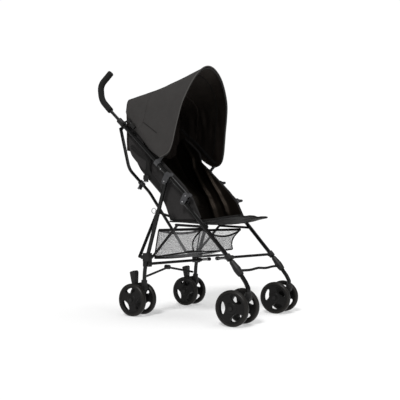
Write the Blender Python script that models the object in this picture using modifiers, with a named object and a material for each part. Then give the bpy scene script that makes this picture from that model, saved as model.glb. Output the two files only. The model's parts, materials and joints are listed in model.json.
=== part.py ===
"""Lightweight umbrella-fold stroller, modelled piece by piece.

Metres, +Z up. The stroller faces -Y and its right-hand side lies at -X.
The origin is on the floor, under the middle of the whole object.
Side-view points are (y, z) pairs; the right and left pieces share them.
"""
import math

import bmesh
import bpy
from mathutils import Matrix, Vector

# Running gaps between pieces that meet
GAP = 0.0003
BORE_GAP = 0.0003

# Tubes
PUSH_RADIUS = 0.009
HANDLE_RADIUS = 0.0068
LEG_RADIUS = 0.0085
BACK_TUBE_RADIUS = 0.007
RAIL_RADIUS = 0.0055
ARM_RADIUS = 0.006
BRACE_RADIUS = 0.0050
BOW_RADIUS = 0.003
GRIP_RADIUS = 0.0135
TUBE_SIDES = 6

# Wheels
WHEEL_DIAMETER = 0.135
WHEEL_WIDTH = 0.0215
FRONT_PITCH = 0.0890
REAR_PITCH = 0.0710
AXLE_RADIUS = 0.004
AXLE_CAP_RADIUS = 0.008
AXLE_CAP = 0.003
RIM_RADIUS = 0.056
HUB_DISC_RADIUS = 0.019
WINDOW_OUTER = 0.0505
WINDOW_INNER = 0.0225
WINDOW_HALF_ANGLE = math.radians(40)
WINDOW_WAIST_ANGLE = math.radians(16)
SPOKES = 3
WHEEL_STEPS = 20

# Places of the side frame in the side view
PUSH_X = 0.207
PUSH_TOP = (0.2495, 0.824)
PUSH_FOOT = (-0.092, 0.491)
PUSH_TAIL = 0.012
REAR_PIVOT = (0.0114, 0.5535)
FRONT_PIVOT = (-0.078, 0.468)
REAR_LEG_TOP_X = 0.2068
REAR_LEG_X = 0.201
REAR_LEG_KNEE = (0.1212, 0.2)
REAR_LEG_FOOT = (0.1242, 0.1285)
REAR_AXLE_Y = 0.1582
FRONT_LEG_TOP_X = 0.2068
FRONT_LEG_FOOT_X = 0.193
FRONT_LEG_FOOT = (-0.298, 0.2215)
JOINT_END = (-0.3195, 0.1935)
LOWER_BEND = (-0.3436, 0.1605)
SWIVEL_X = 0.1955
SWIVEL_Y = -0.355
SWIVEL_TOP = 0.1265
CASTER_TRAIL = 0.0455

# Handle
GRIP_LOW = (0.3065, 0.8788)
GRIP_BEND_LOW = (0.3585, 0.9330)
GRIP_BEND_HIGH = (0.3665, 0.9990)
GRIP_HIGH = (0.3050, 1.0470)
GRIP_BEND = 0.045
GRIP_BORE_END = 0.006
COLLAR_LENGTH = 0.040
COLLAR_WALL = 0.0035
COLLAR_SEAT = 0.028
CLIP_X = 0.2190
CLIP_NEAR = (0.1940, 0.8208)
CLIP_FAR = (0.1722, 0.7950)
CLIP_WIDTH = 0.0090
CLIP_DEPTH = 0.0140
CLIP_NEAR_LENGTH = 0.0170
CLIP_FAR_LENGTH = 0.0250
CLIP_ROD_RADIUS = 0.0040

# Plates of the two riveted brackets
PLATE = 0.003
PLATE_CLEARANCE = 0.0012
PLATE_RADIUS = 0.0135
LOBE_RADIUS = 0.0125
NOSE_REACH = 0.024
NOSE_RADIUS = 0.006
RIVET_RADIUS = 0.0042
RIVET_HEAD = 0.0018
WEB = 0.006

# Bracket low on the rear leg
LOW_BRACKET_Z = 0.244
LOW_BRACKET = (0.0125, 0.0150, 0.0170)
EAR_SETBACK = 0.0035
EAR_PIN = 0.0032
STRUT_FOOT = (0.1016, 0.245)
STRUT_X = 0.1727
ARM_REAR = (0.177, 0.104, 0.216)
BRACE_END = (0.1925, 0.1342, 0.158)
KNUCKLE = (0.1466, 0.191)
KNUCKLE_RADIUS = 0.0105
KNUCKLE_CLEARANCE = 0.0013

# Crossed tubes behind the seat
CROSS_TOP = (0.200, 0.256, 0.799)
CROSS_ELBOW = (0.193, 0.213, 0.618)
CROSS_ELBOW_BEND = 0.045
CROSS_MIDDLE = (0.047, 0.204, 0.527)
CROSS_MIDDLE_BEND = 0.12
CROSS_OFFSET = 0.0085
CROSS_FOOT_X = 0.195
CROSS_FOOT_RIGHT = (0.174, 0.252)
CROSS_FOOT_LEFT = (0.154, 0.243)
HOOK_AT = 0.62

# Seat rails, struts and the crossed arms under the seat
RAIL_X = 0.184
RAIL_FRONT = (-0.171, 0.368)
RAIL_REAR = (-0.024, 0.377)
CLAMP_Z = 0.2514
ARM_FRONT = (0.160, -0.2734, 0.2514)
HUB_CENTRE = (0.0, -0.0900, 0.2340)
HUB_RADIUS = 0.060
HUB_DEPTH = 0.010
HUB_CLEARANCE = 0.0006
ARM_TIP_RADIUS = 0.050
ARM_SLEEVE = 0.022
ARM_SLEEVE_RADIUS = 0.0080

# Hood
HOOD_PIVOT = (0.0295, 0.654)
HOOD_PIVOT_X = 0.2200
HOOD_RIM = ((0.2205, 0.0295, 0.654), (0.2180, -0.009, 0.672), (0.2130, -0.025, 0.710),
            (0.2070, -0.034, 0.761), (0.1990, -0.043, 0.812), (0.1890, -0.055, 0.871),
            (0.1680, -0.069, 0.928), (0.1370, -0.077, 0.978), (0.0940, -0.083, 1.024),
            (0.0480, -0.0845, 1.052))
HOOD_APEX = (0.0, -0.085, 1.062)
HOOD_EDGE = ((0.080, 0.704), (0.119, 0.757), (0.165, 0.800), (0.197, 0.829))
HOOD_REAR_FOOT = (0.2080, 0.2190, 0.8680)
HOOD_REAR_TOP_Z = 0.921
HOOD_REAR_TOP_Y = 0.212
HOOD_REAR_CORNER = 0.030
HOOD_REAR_STEPS = (0.0, 0.005, 0.010, 0.016, 0.022, 0.032, 0.044, 0.060, 0.105, 0.170)
HOOD_BACK_FOOT = (0.166, 0.233, 0.726)
HOOD_CLOTH = 0.0025
HOOD_ROWS = 6
HOOD_BACK_ROWS = 2
HOOD_BACK_SKIP = 3
HOOD_CROWN = 0.0035
HOOD_HEM = (0.12, 0.7, 1.0, 1.0, 1.0, 0.2)
HOOD_HEM_TURN = (0.009, 0.0150, 0.0155)
HOOD_BOW_INSET = 0.0056
HOOD_BOW_CROWN = 0.0018
HOOD_FOOT_INSET = 0.0048

# Seat
SEAT_X = PUSH_X - PUSH_RADIUS - PLATE_CLEARANCE - PLATE - GAP - 0.0015
SEAT_BACK_X = 0.178
CLOTH = 0.003
EAR_X = 0.095
EAR_RISE = 0.042
BACK_LINE = ((0.2265, 0.715), (0.2245, 0.695), (0.2035, 0.668), (0.177, 0.632), (0.139, 0.590),
             (0.059, 0.510), (0.029, 0.452), (0.0072, 0.3957))
WING_LINE = ((0.200, 0.785), (0.150, 0.741), (0.094, 0.687), (0.018, 0.613),
             (-0.066, 0.531), (-0.107, 0.480), (-0.146, 0.3975))
FOLD_DEPTH = 0.007
FOLDS = 4
BASE_LENGTH = 0.290
BASE_REAR_Y = 0.0045
BASE_CLOTH = 0.007
BASE_EDGE_Z = 0.3840
BASE_SAG = 0.010
BASE_FRONT_X = 0.132
BASE_TIP_RISE = 0.020

# Basket
BASKET_X = 0.1657
BASKET_CLOTH = 0.002
BASKET_TOP = ((0.0757, 0.356), (-0.1380, 0.360))
BASKET_FLOOR = ((0.0970, 0.243), (-0.0957, 0.271))
BASKET_SAG = 0.012
BASKET_CORNER = 0.022

# Brake pedals
PEDAL_AXIS = (REAR_AXLE_Y, WHEEL_DIAMETER / 2)
PEDAL_NECK = (0.0120, 0.0420)
PEDAL_NECK_RADIUS = 0.0050
PEDAL_NOSE = (0.0133, 0.1105)
PEDAL_NOSE_RADIUS = 0.0085
PEDAL_HEEL = (0.0298, 0.1100)
PEDAL_HEEL_RADIUS = 0.0040
PEDAL_WIDTH = 0.024

STRAP_Z = 0.202
STRAP_WIDTH = 0.010
STRAP_THICKNESS = 0.0012

FINISHES = {
    "black_tube": ((0.030, 0.030, 0.031, 1.0), 0.34, 0.7),
    "dark_plastic": ((0.045, 0.045, 0.047, 1.0), 0.50, 0.0),
    "grey_plastic": ((0.170, 0.170, 0.178, 1.0), 0.48, 0.0),
    "foam": ((0.026, 0.026, 0.027, 1.0), 0.90, 0.0),
    "wheel_plastic": ((0.032, 0.032, 0.033, 1.0), 0.42, 0.0),
    "black_cloth": ((0.016, 0.015, 0.014, 1.0), 0.93, 0.0),
    "hood_cloth": ((0.050, 0.047, 0.045, 1.0), 0.90, 0.0),
    "mesh_cloth": ((0.300, 0.295, 0.300, 1.0), 0.85, 0.0),
}

PARTS = "lightweight_stroller"
CUTTERS = "cutters"
SIDES = ((-1, "r"), (1, "l"))


def clear_scene():
    """Remove every object and make the two collections."""
    for obj in list(bpy.data.objects):
        bpy.data.objects.remove(obj, do_unlink=True)
    for name in (PARTS, CUTTERS):
        bpy.context.scene.collection.children.link(bpy.data.collections.new(name))


def finish(name, preset):
    """Give a new material for one piece its colour, roughness and metallic value."""
    colour, rough, metal = FINISHES[preset]
    mat = bpy.data.materials.new(name + "_finish")
    mat.use_nodes = True
    shader = mat.node_tree.nodes["Principled BSDF"]
    shader.inputs["Base Color"].default_value = colour
    shader.inputs["Roughness"].default_value = rough
    shader.inputs["Metallic"].default_value = metal
    mat.diffuse_color = colour
    return mat


def add_part(name, data, preset):
    """Link an object for one sub-part with its own material."""
    obj = bpy.data.objects.new(name, data)
    bpy.data.collections[PARTS].objects.link(obj)
    obj.data.materials.clear()
    obj.data.materials.append(finish(name, preset))
    if obj.type == "MESH":
        obj.data.shade_smooth()
        obj.data.set_sharp_from_angle(angle=math.radians(35))
    return obj


def mesh_from(bm, name):
    """Turn a bmesh into mesh data and free it."""
    bmesh.ops.recalc_face_normals(bm, faces=bm.faces)
    data = bpy.data.meshes.new(name)
    bm.to_mesh(data)
    bm.free()
    return data


def side_point(side, x, yz):
    """Point at distance x from the middle plane on one side."""
    return Vector((side * x, yz[0], yz[1]))


def mirrored(side, point):
    """Point given for the +X half, placed on one side."""
    return Vector((side * point[0], point[1], point[2]))


def along(start, end, distance):
    """Point at a distance from start towards end."""
    return start + (end - start).normalized() * distance


def rounded_path(points, bends, steps=6):
    """Polyline whose inner corners are arcs of the given radii."""
    path = [points[0].copy()]
    for i in range(1, len(points) - 1):
        before = (points[i - 1] - points[i]).normalized()
        after = (points[i + 1] - points[i]).normalized()
        half = before.angle(after) / 2
        reach = bends[i - 1] / math.tan(half)
        centre = points[i] + (before + after).normalized() * (bends[i - 1] / math.sin(half))
        first = points[i] + before * reach - centre
        last = points[i] + after * reach - centre
        sweep = first.angle(last)
        for k in range(steps + 1):
            t = k / steps
            mix = (first * math.sin((1 - t) * sweep) + last * math.sin(t * sweep)) / math.sin(sweep)
            path.append(centre + mix)
    path.append(points[-1].copy())
    return path


def curve_data(name, path, radius, sides=TUBE_SIDES, closed=False):
    """Curve with a round section and filled caps."""
    data = bpy.data.curves.new(name, "CURVE")
    data.dimensions = "3D"
    data.bevel_depth = radius
    data.bevel_resolution = sides - 2
    data.use_fill_caps = True
    spline = data.splines.new("POLY")
    spline.points.add(len(path) - 1)
    for point, place in zip(spline.points, path):
        point.co = (*place, 1.0)
    spline.use_cyclic_u = closed
    return data


def tube(name, path, radius, preset, sides=TUBE_SIDES):
    """Tube, rail or handle along a path."""
    return add_part(name, curve_data(name, path, radius, sides), preset)


def welded(name, path, radius, sides=TUBE_SIDES):
    """Closed mesh of a tube, for a piece that is cut or joined."""
    obj = bpy.data.objects.new(name, curve_data(name, path, radius, sides))
    bpy.data.collections[CUTTERS].objects.link(obj)
    graph = bpy.context.evaluated_depsgraph_get()
    data = bpy.data.meshes.new_from_object(obj.evaluated_get(graph))
    bpy.data.objects.remove(obj, do_unlink=True)
    bm = bmesh.new()
    bm.from_mesh(data)
    bmesh.ops.remove_doubles(bm, verts=bm.verts, dist=1e-6)
    bpy.data.meshes.remove(data)
    return mesh_from(bm, name)


def turned(profile, steps, origin, axis):
    """Closed turned solid from (radius, height) points that run down its outer side.

    A profile that starts and ends off the axis is a ring, and is closed by a bore.
    """
    data = bpy.data.meshes.new("profile")
    ring = profile[0][0] > 1e-6
    edges = [(i, i + 1) for i in range(len(profile) - 1)]
    if ring:
        edges.append((len(profile) - 1, 0))
    data.from_pydata([(r, 0.0, h) for r, h in profile], edges, [])
    obj = bpy.data.objects.new("profile", data)
    bpy.data.collections[CUTTERS].objects.link(obj)
    screw = obj.modifiers.new("turn", "SCREW")
    screw.steps = steps
    screw.render_steps = steps
    screw.use_merge_vertices = True
    screw.merge_threshold = 1e-5
    graph = bpy.context.evaluated_depsgraph_get()
    solid = bpy.data.meshes.new_from_object(obj.evaluated_get(graph))
    bpy.data.objects.remove(obj, do_unlink=True)
    turn = Vector((0, 0, 1)).rotation_difference(Vector(axis).normalized())
    solid.transform(Matrix.Translation(origin) @ turn.to_matrix().to_4x4())
    bm = bmesh.new()
    bm.from_mesh(solid)
    bpy.data.meshes.remove(solid)
    return mesh_from(bm, "turned")


def rod(start, end, radius, steps=10, rings=2):
    """Straight rod with round ends, centred on both end points."""
    length = (end - start).length
    arc = [(radius * math.sin(a), radius * math.cos(a))
           for a in (math.pi / 2 * i / rings for i in range(rings + 1))]
    profile = [(r, length + h) for r, h in arc]
    profile += [(r, -h) for r, h in reversed(arc)]
    profile[0] = (0.0, length + radius)
    profile[-1] = (0.0, -radius)
    return turned(profile, steps, start, end - start)


def drum(radius, start, end, steps=12):
    """Plain cylinder between two points."""
    length = (end - start).length
    return turned([(0.0, length), (radius, length), (radius, 0.0), (0.0, 0.0)], steps, start, end - start)


def block(size, centre, turn=None):
    """Box with full sizes, turned about its centre."""
    bm = bmesh.new()
    bmesh.ops.create_cube(bm, size=1.0)
    place = Matrix.Translation(centre)
    if turn is not None:
        place = place @ turn.to_4x4()
    bmesh.ops.transform(bm, matrix=place @ Matrix.Diagonal((*size, 1.0)), verts=bm.verts)
    return mesh_from(bm, "block")


def plate(outline, x0, x1):
    """Flat plate across X from a closed (y, z) outline."""
    data = bpy.data.curves.new("plate", "CURVE")
    data.dimensions = "2D"
    data.fill_mode = "BOTH"
    data.extrude = abs(x1 - x0) / 2
    spline = data.splines.new("POLY")
    spline.points.add(len(outline) - 1)
    for point, place in zip(spline.points, outline):
        point.co = (place[0], place[1], 0.0, 1.0)
    spline.use_cyclic_u = True
    obj = bpy.data.objects.new("plate", data)
    bpy.data.collections[CUTTERS].objects.link(obj)
    graph = bpy.context.evaluated_depsgraph_get()
    solid = bpy.data.meshes.new_from_object(obj.evaluated_get(graph))
    bpy.data.objects.remove(obj, do_unlink=True)
    bm = bmesh.new()
    bm.from_mesh(solid)
    bpy.data.meshes.remove(solid)
    bmesh.ops.remove_doubles(bm, verts=bm.verts, dist=1e-6)
    upright = Matrix(((0, 0, 1, 0), (1, 0, 0, 0), (0, 1, 0, 0), (0, 0, 0, 1)))
    bmesh.ops.transform(bm, matrix=Matrix.Translation(((x0 + x1) / 2, 0, 0)) @ upright, verts=bm.verts)
    return mesh_from(bm, "plate")


def combine(base, others, operation):
    """Exact boolean of mesh data with a list of other meshes."""
    host = bpy.data.objects.new("host", base)
    bpy.data.collections[CUTTERS].objects.link(host)
    tools = []
    for data in others:
        tool = bpy.data.objects.new("tool", data)
        bpy.data.collections[CUTTERS].objects.link(tool)
        tool.hide_render = True
        tool.display_type = "WIRE"
        tools.append(tool)
        cut = host.modifiers.new("cut", "BOOLEAN")
        cut.operation = operation
        cut.solver = "EXACT"
        cut.object = tool
    graph = bpy.context.evaluated_depsgraph_get()
    solid = bpy.data.meshes.new_from_object(host.evaluated_get(graph))
    for obj in [host] + tools:
        bpy.data.objects.remove(obj, do_unlink=True)
    return solid


def union(first, *others):
    """One solid from overlapping solids."""
    return combine(first, others, "UNION")


def cut(first, *others):
    """A solid less the cutters."""
    return combine(first, others, "DIFFERENCE")


def arc_points(centre, radius, start, end, count):
    """Points on an arc in the side view, angles in radians from +y towards +z."""
    points = []
    for i in range(count):
        angle = start + (end - start) * i / (count - 1)
        points.append((centre[0] + radius * math.cos(angle), centre[1] + radius * math.sin(angle)))
    return points


def hull_outline(circles, count=5):
    """Outline round a chain of circles (centre, radius), as a belt would lie."""
    bm = bmesh.new()
    for centre, radius in circles:
        for y, z in arc_points(centre, radius, 0.0, 2 * math.pi, 2 * count + 1)[:-1]:
            bm.verts.new((y, z, 0.0))
    points = sorted({(round(v.co.x, 7), round(v.co.y, 7)) for v in bm.verts})
    bm.free()

    def turn(o, a, b):
        return (a[0] - o[0]) * (b[1] - o[1]) - (a[1] - o[1]) * (b[0] - o[0])

    halves = []
    for order in (points, points[::-1]):
        chain = []
        for p in order:
            while len(chain) > 1 and turn(chain[-2], chain[-1], p) <= 0:
                chain.pop()
            chain.append(p)
        halves.append(chain[:-1])
    return halves[0] + halves[1]


def grid_shell(name, rows, thickness, preset):
    """Closed cloth solid from rows of points; a row may hold None where there is no cloth."""
    bm = bmesh.new()
    verts = [[bm.verts.new(p) if p is not None else None for p in row] for row in rows]
    for upper, lower in zip(verts, verts[1:]):
        for i in range(len(upper) - 1):
            corners = (upper[i], upper[i + 1], lower[i + 1], lower[i])
            if all(corners):
                bm.faces.new(corners)
    data = bpy.data.meshes.new(name)
    bm.to_mesh(data)
    bm.free()
    obj = add_part(name, data, preset)
    shell = obj.modifiers.new("cloth", "SOLIDIFY")
    shell.thickness = thickness
    shell.offset = 0.0
    shell.use_even_offset = True
    return obj


def at_height(line, z):
    """y on a side-view polyline at a height."""
    for (y0, z0), (y1, z1) in zip(line, line[1:]):
        if (z - z0) * (z - z1) <= 0 and z0 != z1:
            return y0 + (y1 - y0) * (z - z0) / (z1 - z0)
    return line[-1][0]


def resample(line, count):
    """Evenly spaced points along a side-view polyline."""
    lengths = [0.0]
    for a, b in zip(line, line[1:]):
        lengths.append(lengths[-1] + math.dist(a, b))
    points = []
    for i in range(count):
        goal = lengths[-1] * i / (count - 1)
        k = next(j for j in range(1, len(lengths)) if goal <= lengths[j] + 1e-9)
        t = (goal - lengths[k - 1]) / (lengths[k] - lengths[k - 1])
        points.append(tuple(p + (q - p) * t for p, q in zip(line[k - 1], line[k])))
    return points


def rear_leg_path(side):
    """Middle line of a rear leg, from its pivot to its foot."""
    return [side_point(side, REAR_LEG_TOP_X, REAR_PIVOT),
            side_point(side, REAR_LEG_X, REAR_LEG_KNEE),
            side_point(side, REAR_LEG_X, REAR_LEG_FOOT)]


def rear_leg_at(side, z):
    """Point of the rear leg's middle line at a height."""
    top, knee, foot = rear_leg_path(side)
    a, b = (top, knee) if z > knee.z else (knee, foot)
    return a.lerp(b, (a.z - z) / (a.z - b.z))


def front_leg_at(side, z):
    """Point of the front leg's middle line at a height."""
    top = side_point(side, FRONT_LEG_TOP_X, FRONT_PIVOT)
    foot = side_point(side, FRONT_LEG_FOOT_X, FRONT_LEG_FOOT)
    return top.lerp(foot, (top.z - z) / (top.z - foot.z))


def build_handle(side, tag):
    """Push tube, thin handle tube, bent foam grip and the collar between them."""
    top = side_point(side, PUSH_X, PUSH_TOP)
    foot = side_point(side, PUSH_X, PUSH_FOOT)
    tail = along(foot, top, -PUSH_TAIL)
    tube("push_tube_" + tag, [tail, top], PUSH_RADIUS, "black_tube")
    low = side_point(side, PUSH_X, GRIP_LOW)
    corners = [low, side_point(side, PUSH_X, GRIP_BEND_LOW),
               side_point(side, PUSH_X, GRIP_BEND_HIGH), side_point(side, PUSH_X, GRIP_HIGH)]
    grip_path = rounded_path(corners, (GRIP_BEND, GRIP_BEND), steps=4)
    stop = along(corners[3], corners[2], GRIP_BORE_END)
    core_start = along(top, low, GAP)
    core = [core_start] + grip_path[:-1] + [stop]
    bore = [along(low, top, GRIP_BORE_END)] + grip_path[:-1] + [along(stop, corners[3], GAP)]
    tube("handle_tube_" + tag, core, HANDLE_RADIUS, "black_tube", sides=5)
    grip = cut(welded("grip", grip_path, GRIP_RADIUS, sides=5),
               welded("bore", bore, HANDLE_RADIUS + BORE_GAP, sides=5))
    add_part("handle_grip_" + tag, grip, "foam")
    build_collar(side, tag, top, foot, low)


def build_collar(side, tag, top, foot, low):
    """Plastic collar over the push tube's top, with the crossed tube's lug and the hood's rear clip."""
    start = along(top, foot, COLLAR_SEAT)
    body = drum(PUSH_RADIUS + BORE_GAP + COLLAR_WALL, start, along(start, top, COLLAR_LENGTH), steps=14)
    pivot = mirrored(side, CROSS_TOP)
    root = along(top, foot, COLLAR_SEAT / 2)
    lug_x = side * (abs(pivot.x) - BACK_TUBE_RADIUS - GAP - PLATE / 2)
    arm = block((PLATE, 0.016, (root - pivot).length + 0.014),
                Vector((lug_x, (root.y + pivot.y) / 2, (root.z + pivot.z) / 2)),
                Vector((0, 0, 1)).rotation_difference(
                    Vector((0, root.y - pivot.y, root.z - pivot.z))).to_matrix())
    bridge = block((PUSH_X - abs(lug_x) + PLATE / 2, 0.014, 0.018),
                   Vector((side * (PUSH_X + abs(lug_x) - PLATE / 2) / 2, root.y, root.z)))
    near = side_point(side, CLIP_X, CLIP_NEAR)
    far = side_point(side, CLIP_X, CLIP_FAR)
    lean = Vector((0, 0, 1)).rotation_difference(foot - top).to_matrix()
    clip = [rod(Vector((side * CLIP_X, root.y, root.z)), near, CLIP_ROD_RADIUS, steps=8),
            rod(near, far, CLIP_ROD_RADIUS, steps=8),
            block((CLIP_WIDTH, CLIP_DEPTH, CLIP_NEAR_LENGTH), near, lean),
            block((CLIP_WIDTH, CLIP_DEPTH, CLIP_FAR_LENGTH), far, lean)]
    head = drum(RIVET_RADIUS, Vector((lug_x, pivot.y, pivot.z)),
                Vector((lug_x - side * (PLATE / 2 + RIVET_HEAD), pivot.y, pivot.z)), steps=8)
    collar = cut(union(body, arm, bridge, head, *clip),
                 drum(PUSH_RADIUS + BORE_GAP, along(start, foot, 0.01), along(top, foot, -GAP / 2), steps=16),
                 drum(HANDLE_RADIUS + BORE_GAP, top, along(top, low, COLLAR_LENGTH), steps=16))
    add_part("top_collar_" + tag, collar, "dark_plastic")


def build_bracket(side, tag, name, tube_at, pivot, reach):
    """Two plates and a web that rivet a leg to the push tube, with a short nose."""
    outline = hull_outline([(tube_at, PLATE_RADIUS), (pivot, LOBE_RADIUS)])
    nose = hull_outline([(tube_at, NOSE_RADIUS + 0.003), ((tube_at[0] - reach, tube_at[1] + 0.001), NOSE_RADIUS)])
    inner = PUSH_X - PUSH_RADIUS - PLATE_CLEARANCE
    outer = PUSH_X + PUSH_RADIUS + GAP
    solids = []
    for x0, x1 in ((inner, inner - PLATE), (outer, outer + PLATE)):
        solids.append(plate(outline, side * x0, side * x1))
    solids.append(plate(nose, side * outer, side * (outer + PLATE)))
    middle = Vector((0, (tube_at[0] + pivot[0]) / 2, (tube_at[1] + pivot[1]) / 2))
    lean = Vector((0, pivot[0] - tube_at[0], pivot[1] - tube_at[1]))
    shift = (PUSH_RADIUS - LEG_RADIUS) / 2
    centre = middle + lean.normalized() * shift
    turn = Vector((0, 0, 1)).rotation_difference(lean).to_matrix()
    solids.append(block((outer - inner + PLATE, 0.012, WEB), Vector((side * PUSH_X, centre.y, centre.z)), turn))
    for spot in (tube_at, pivot):
        solids.append(drum(RIVET_RADIUS, side_point(side, outer + PLATE / 2, spot),
                           side_point(side, outer + PLATE + RIVET_HEAD, spot), steps=8))
    add_part(name + tag, union(*solids), "grey_plastic")


def build_side_frame(side, tag):
    """Brackets, front leg, clamp, footrest joint and lower leg of one side."""
    build_bracket(side, tag, "rear_leg_bracket_", bracket_seat(), REAR_PIVOT, NOSE_REACH)
    build_bracket(side, tag, "front_leg_bracket_", PUSH_FOOT, FRONT_PIVOT, NOSE_REACH)
    top = side_point(side, FRONT_LEG_TOP_X, FRONT_PIVOT)
    foot = side_point(side, FRONT_LEG_FOOT_X, FRONT_LEG_FOOT)
    tube("front_leg_" + tag, [top, foot], LEG_RADIUS, "black_tube")
    build_front_clamp(side, tag)
    end = side_point(side, FRONT_LEG_FOOT_X, JOINT_END)
    bend = side_point(side, SWIVEL_X - 0.001, LOWER_BEND)
    sleeve_start = along(foot, top, 0.020)
    sleeve_end = along(end, foot, -0.008)
    length = (sleeve_end - sleeve_start).length
    r = LEG_RADIUS + BORE_GAP
    profile = [(r + 0.0018, length), (r + 0.0030, length * 0.80), (r + 0.0060, length * 0.45),
               (r + 0.0052, length * 0.20), (r + 0.0030, 0.0)]
    profile = [(0.0, length)] + profile + [(0.0, 0.0)]
    sleeve = turned(profile, 16, sleeve_end, sleeve_start - sleeve_end)
    sleeve = cut(sleeve, drum(r, along(foot, end, GAP), along(foot, top, 0.05), steps=16),
                 drum(r, along(end, bend, -GAP), along(end, bend, 0.05), steps=16))
    add_part("footrest_joint_" + tag, sleeve, "grey_plastic")
    swivel = Vector((side * SWIVEL_X, SWIVEL_Y, SWIVEL_TOP))
    neck = Vector((swivel.x, swivel.y, swivel.z + 0.012))
    lower = rounded_path([end, bend, neck, swivel], (0.04, 0.02), steps=4)
    tube("lower_leg_" + tag, lower, LEG_RADIUS, "black_tube")


def bracket_seat():
    """Point on the push tube's middle line nearest the rear leg's pivot."""
    top = Vector(PUSH_TOP)
    foot = Vector(PUSH_FOOT)
    way = (foot - top).normalized()
    spot = top + way * (Vector(REAR_PIVOT) - top).dot(way) - way * 0.006
    return (spot.x, spot.y)


def build_front_clamp(side, tag):
    """Clamp on the front leg whose boss reaches in to the crossed arm."""
    here = front_leg_at(side, CLAMP_Z)
    above = front_leg_at(side, CLAMP_Z + 0.02)
    way = (above - here).normalized()
    body = drum(LEG_RADIUS + 0.0045, here - way * 0.011, here + way * 0.011)
    arm = mirrored(side, ARM_FRONT)
    boss_end = Vector((side * (ARM_FRONT[0] + ARM_RADIUS + GAP), arm.y, arm.z))
    boss = drum(0.0085, Vector((here.x, arm.y, arm.z)), boss_end)
    clamp = cut(union(body, boss), drum(LEG_RADIUS + BORE_GAP, here - way * 0.03, here + way * 0.03, steps=16))
    add_part("front_clamp_" + tag, clamp, "dark_plastic")


def build_rear_leg(side, tag):
    """Rear leg, its low bracket and the wheel housing with the axle."""
    path = rear_leg_path(side)
    head = along(path[0], path[1], -0.002)
    leg = rounded_path([head] + path[1:], (0.25,), steps=5)
    tube("rear_leg_" + tag, leg, LEG_RADIUS, "black_tube")
    build_low_bracket(side, tag, leg)
    build_housing(side, tag, leg)


def leg_cutter(leg):
    """Bore that a plastic piece needs round the rear leg."""
    extra = along(leg[-1], leg[-2], -0.004)
    return welded("bore", leg[:-1] + [extra], LEG_RADIUS + BORE_GAP, sides=TUBE_SIDES)


def build_low_bracket(side, tag, leg):
    """Plastic bracket on the rear leg for the crossed tube, strut, arm and brace."""
    here = rear_leg_at(side, LOW_BRACKET_Z)
    body = block([2 * s for s in LOW_BRACKET], here)
    foot = CROSS_FOOT_LEFT if side < 0 else CROSS_FOOT_RIGHT
    pin_end = foot[0] - BACK_TUBE_RADIUS - 2 * GAP
    ear_end = pin_end - EAR_SETBACK
    ear = drum(0.0085, Vector((side * CROSS_FOOT_X, here.y, foot[1])),
               Vector((side * CROSS_FOOT_X, ear_end, foot[1])))
    pin = drum(EAR_PIN, Vector((side * CROSS_FOOT_X, here.y, foot[1])),
               Vector((side * CROSS_FOOT_X, pin_end, foot[1])), steps=8)
    strut_face = side * (STRUT_X + RAIL_RADIUS + GAP)
    boss = drum(0.0085, Vector((here.x, *STRUT_FOOT)), Vector((strut_face, *STRUT_FOOT)))
    arm_face = ARM_REAR[0] + ARM_RADIUS + GAP
    depth = abs(here.x) - arm_face
    skirt = block((depth, 0.034, 0.030),
                  Vector((side * (arm_face + depth / 2), ARM_REAR[1] + 0.010, ARM_REAR[2] + 0.003)))
    bracket = cut(union(body, ear, pin, boss, skirt), leg_cutter(leg))
    add_part("low_bracket_" + tag, bracket, "dark_plastic")


def build_housing(side, tag, leg):
    """Rear wheel housing: socket for the leg, arm back to the axle, and the axle."""
    foot = leg[-1]
    axle = Vector((side * REAR_LEG_X, REAR_AXLE_Y, WHEEL_DIAMETER / 2))
    way = (leg[-2] - foot).normalized()
    socket = drum(LEG_RADIUS + 0.004, foot - way * 0.010, foot + way * 0.020)
    half = REAR_PITCH / 2 + WHEEL_WIDTH / 2
    arm = plate(hull_outline([((foot.y, foot.z - 0.014), 0.013), ((axle.y, axle.z), 0.016)]),
                axle.x - 0.013, axle.x + 0.013)
    spindle = drum(AXLE_RADIUS, axle - Vector((half + AXLE_CAP / 2, 0, 0)),
                   axle + Vector((half + AXLE_CAP / 2, 0, 0)), steps=12)
    boss_half = REAR_PITCH / 2 - WHEEL_WIDTH / 2 - GAP
    boss = drum(0.0095, axle - Vector((boss_half, 0, 0)), axle + Vector((boss_half, 0, 0)), steps=14)
    caps = [drum(AXLE_CAP_RADIUS, axle + Vector((s * (half + GAP), 0, 0)),
                 axle + Vector((s * (half + GAP + AXLE_CAP), 0, 0)), steps=12) for s in (-1, 1)]
    housing = cut(union(arm, socket, boss, spindle, *caps), leg_cutter(leg))
    add_part("rear_housing_" + tag, housing, "dark_plastic")


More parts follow.
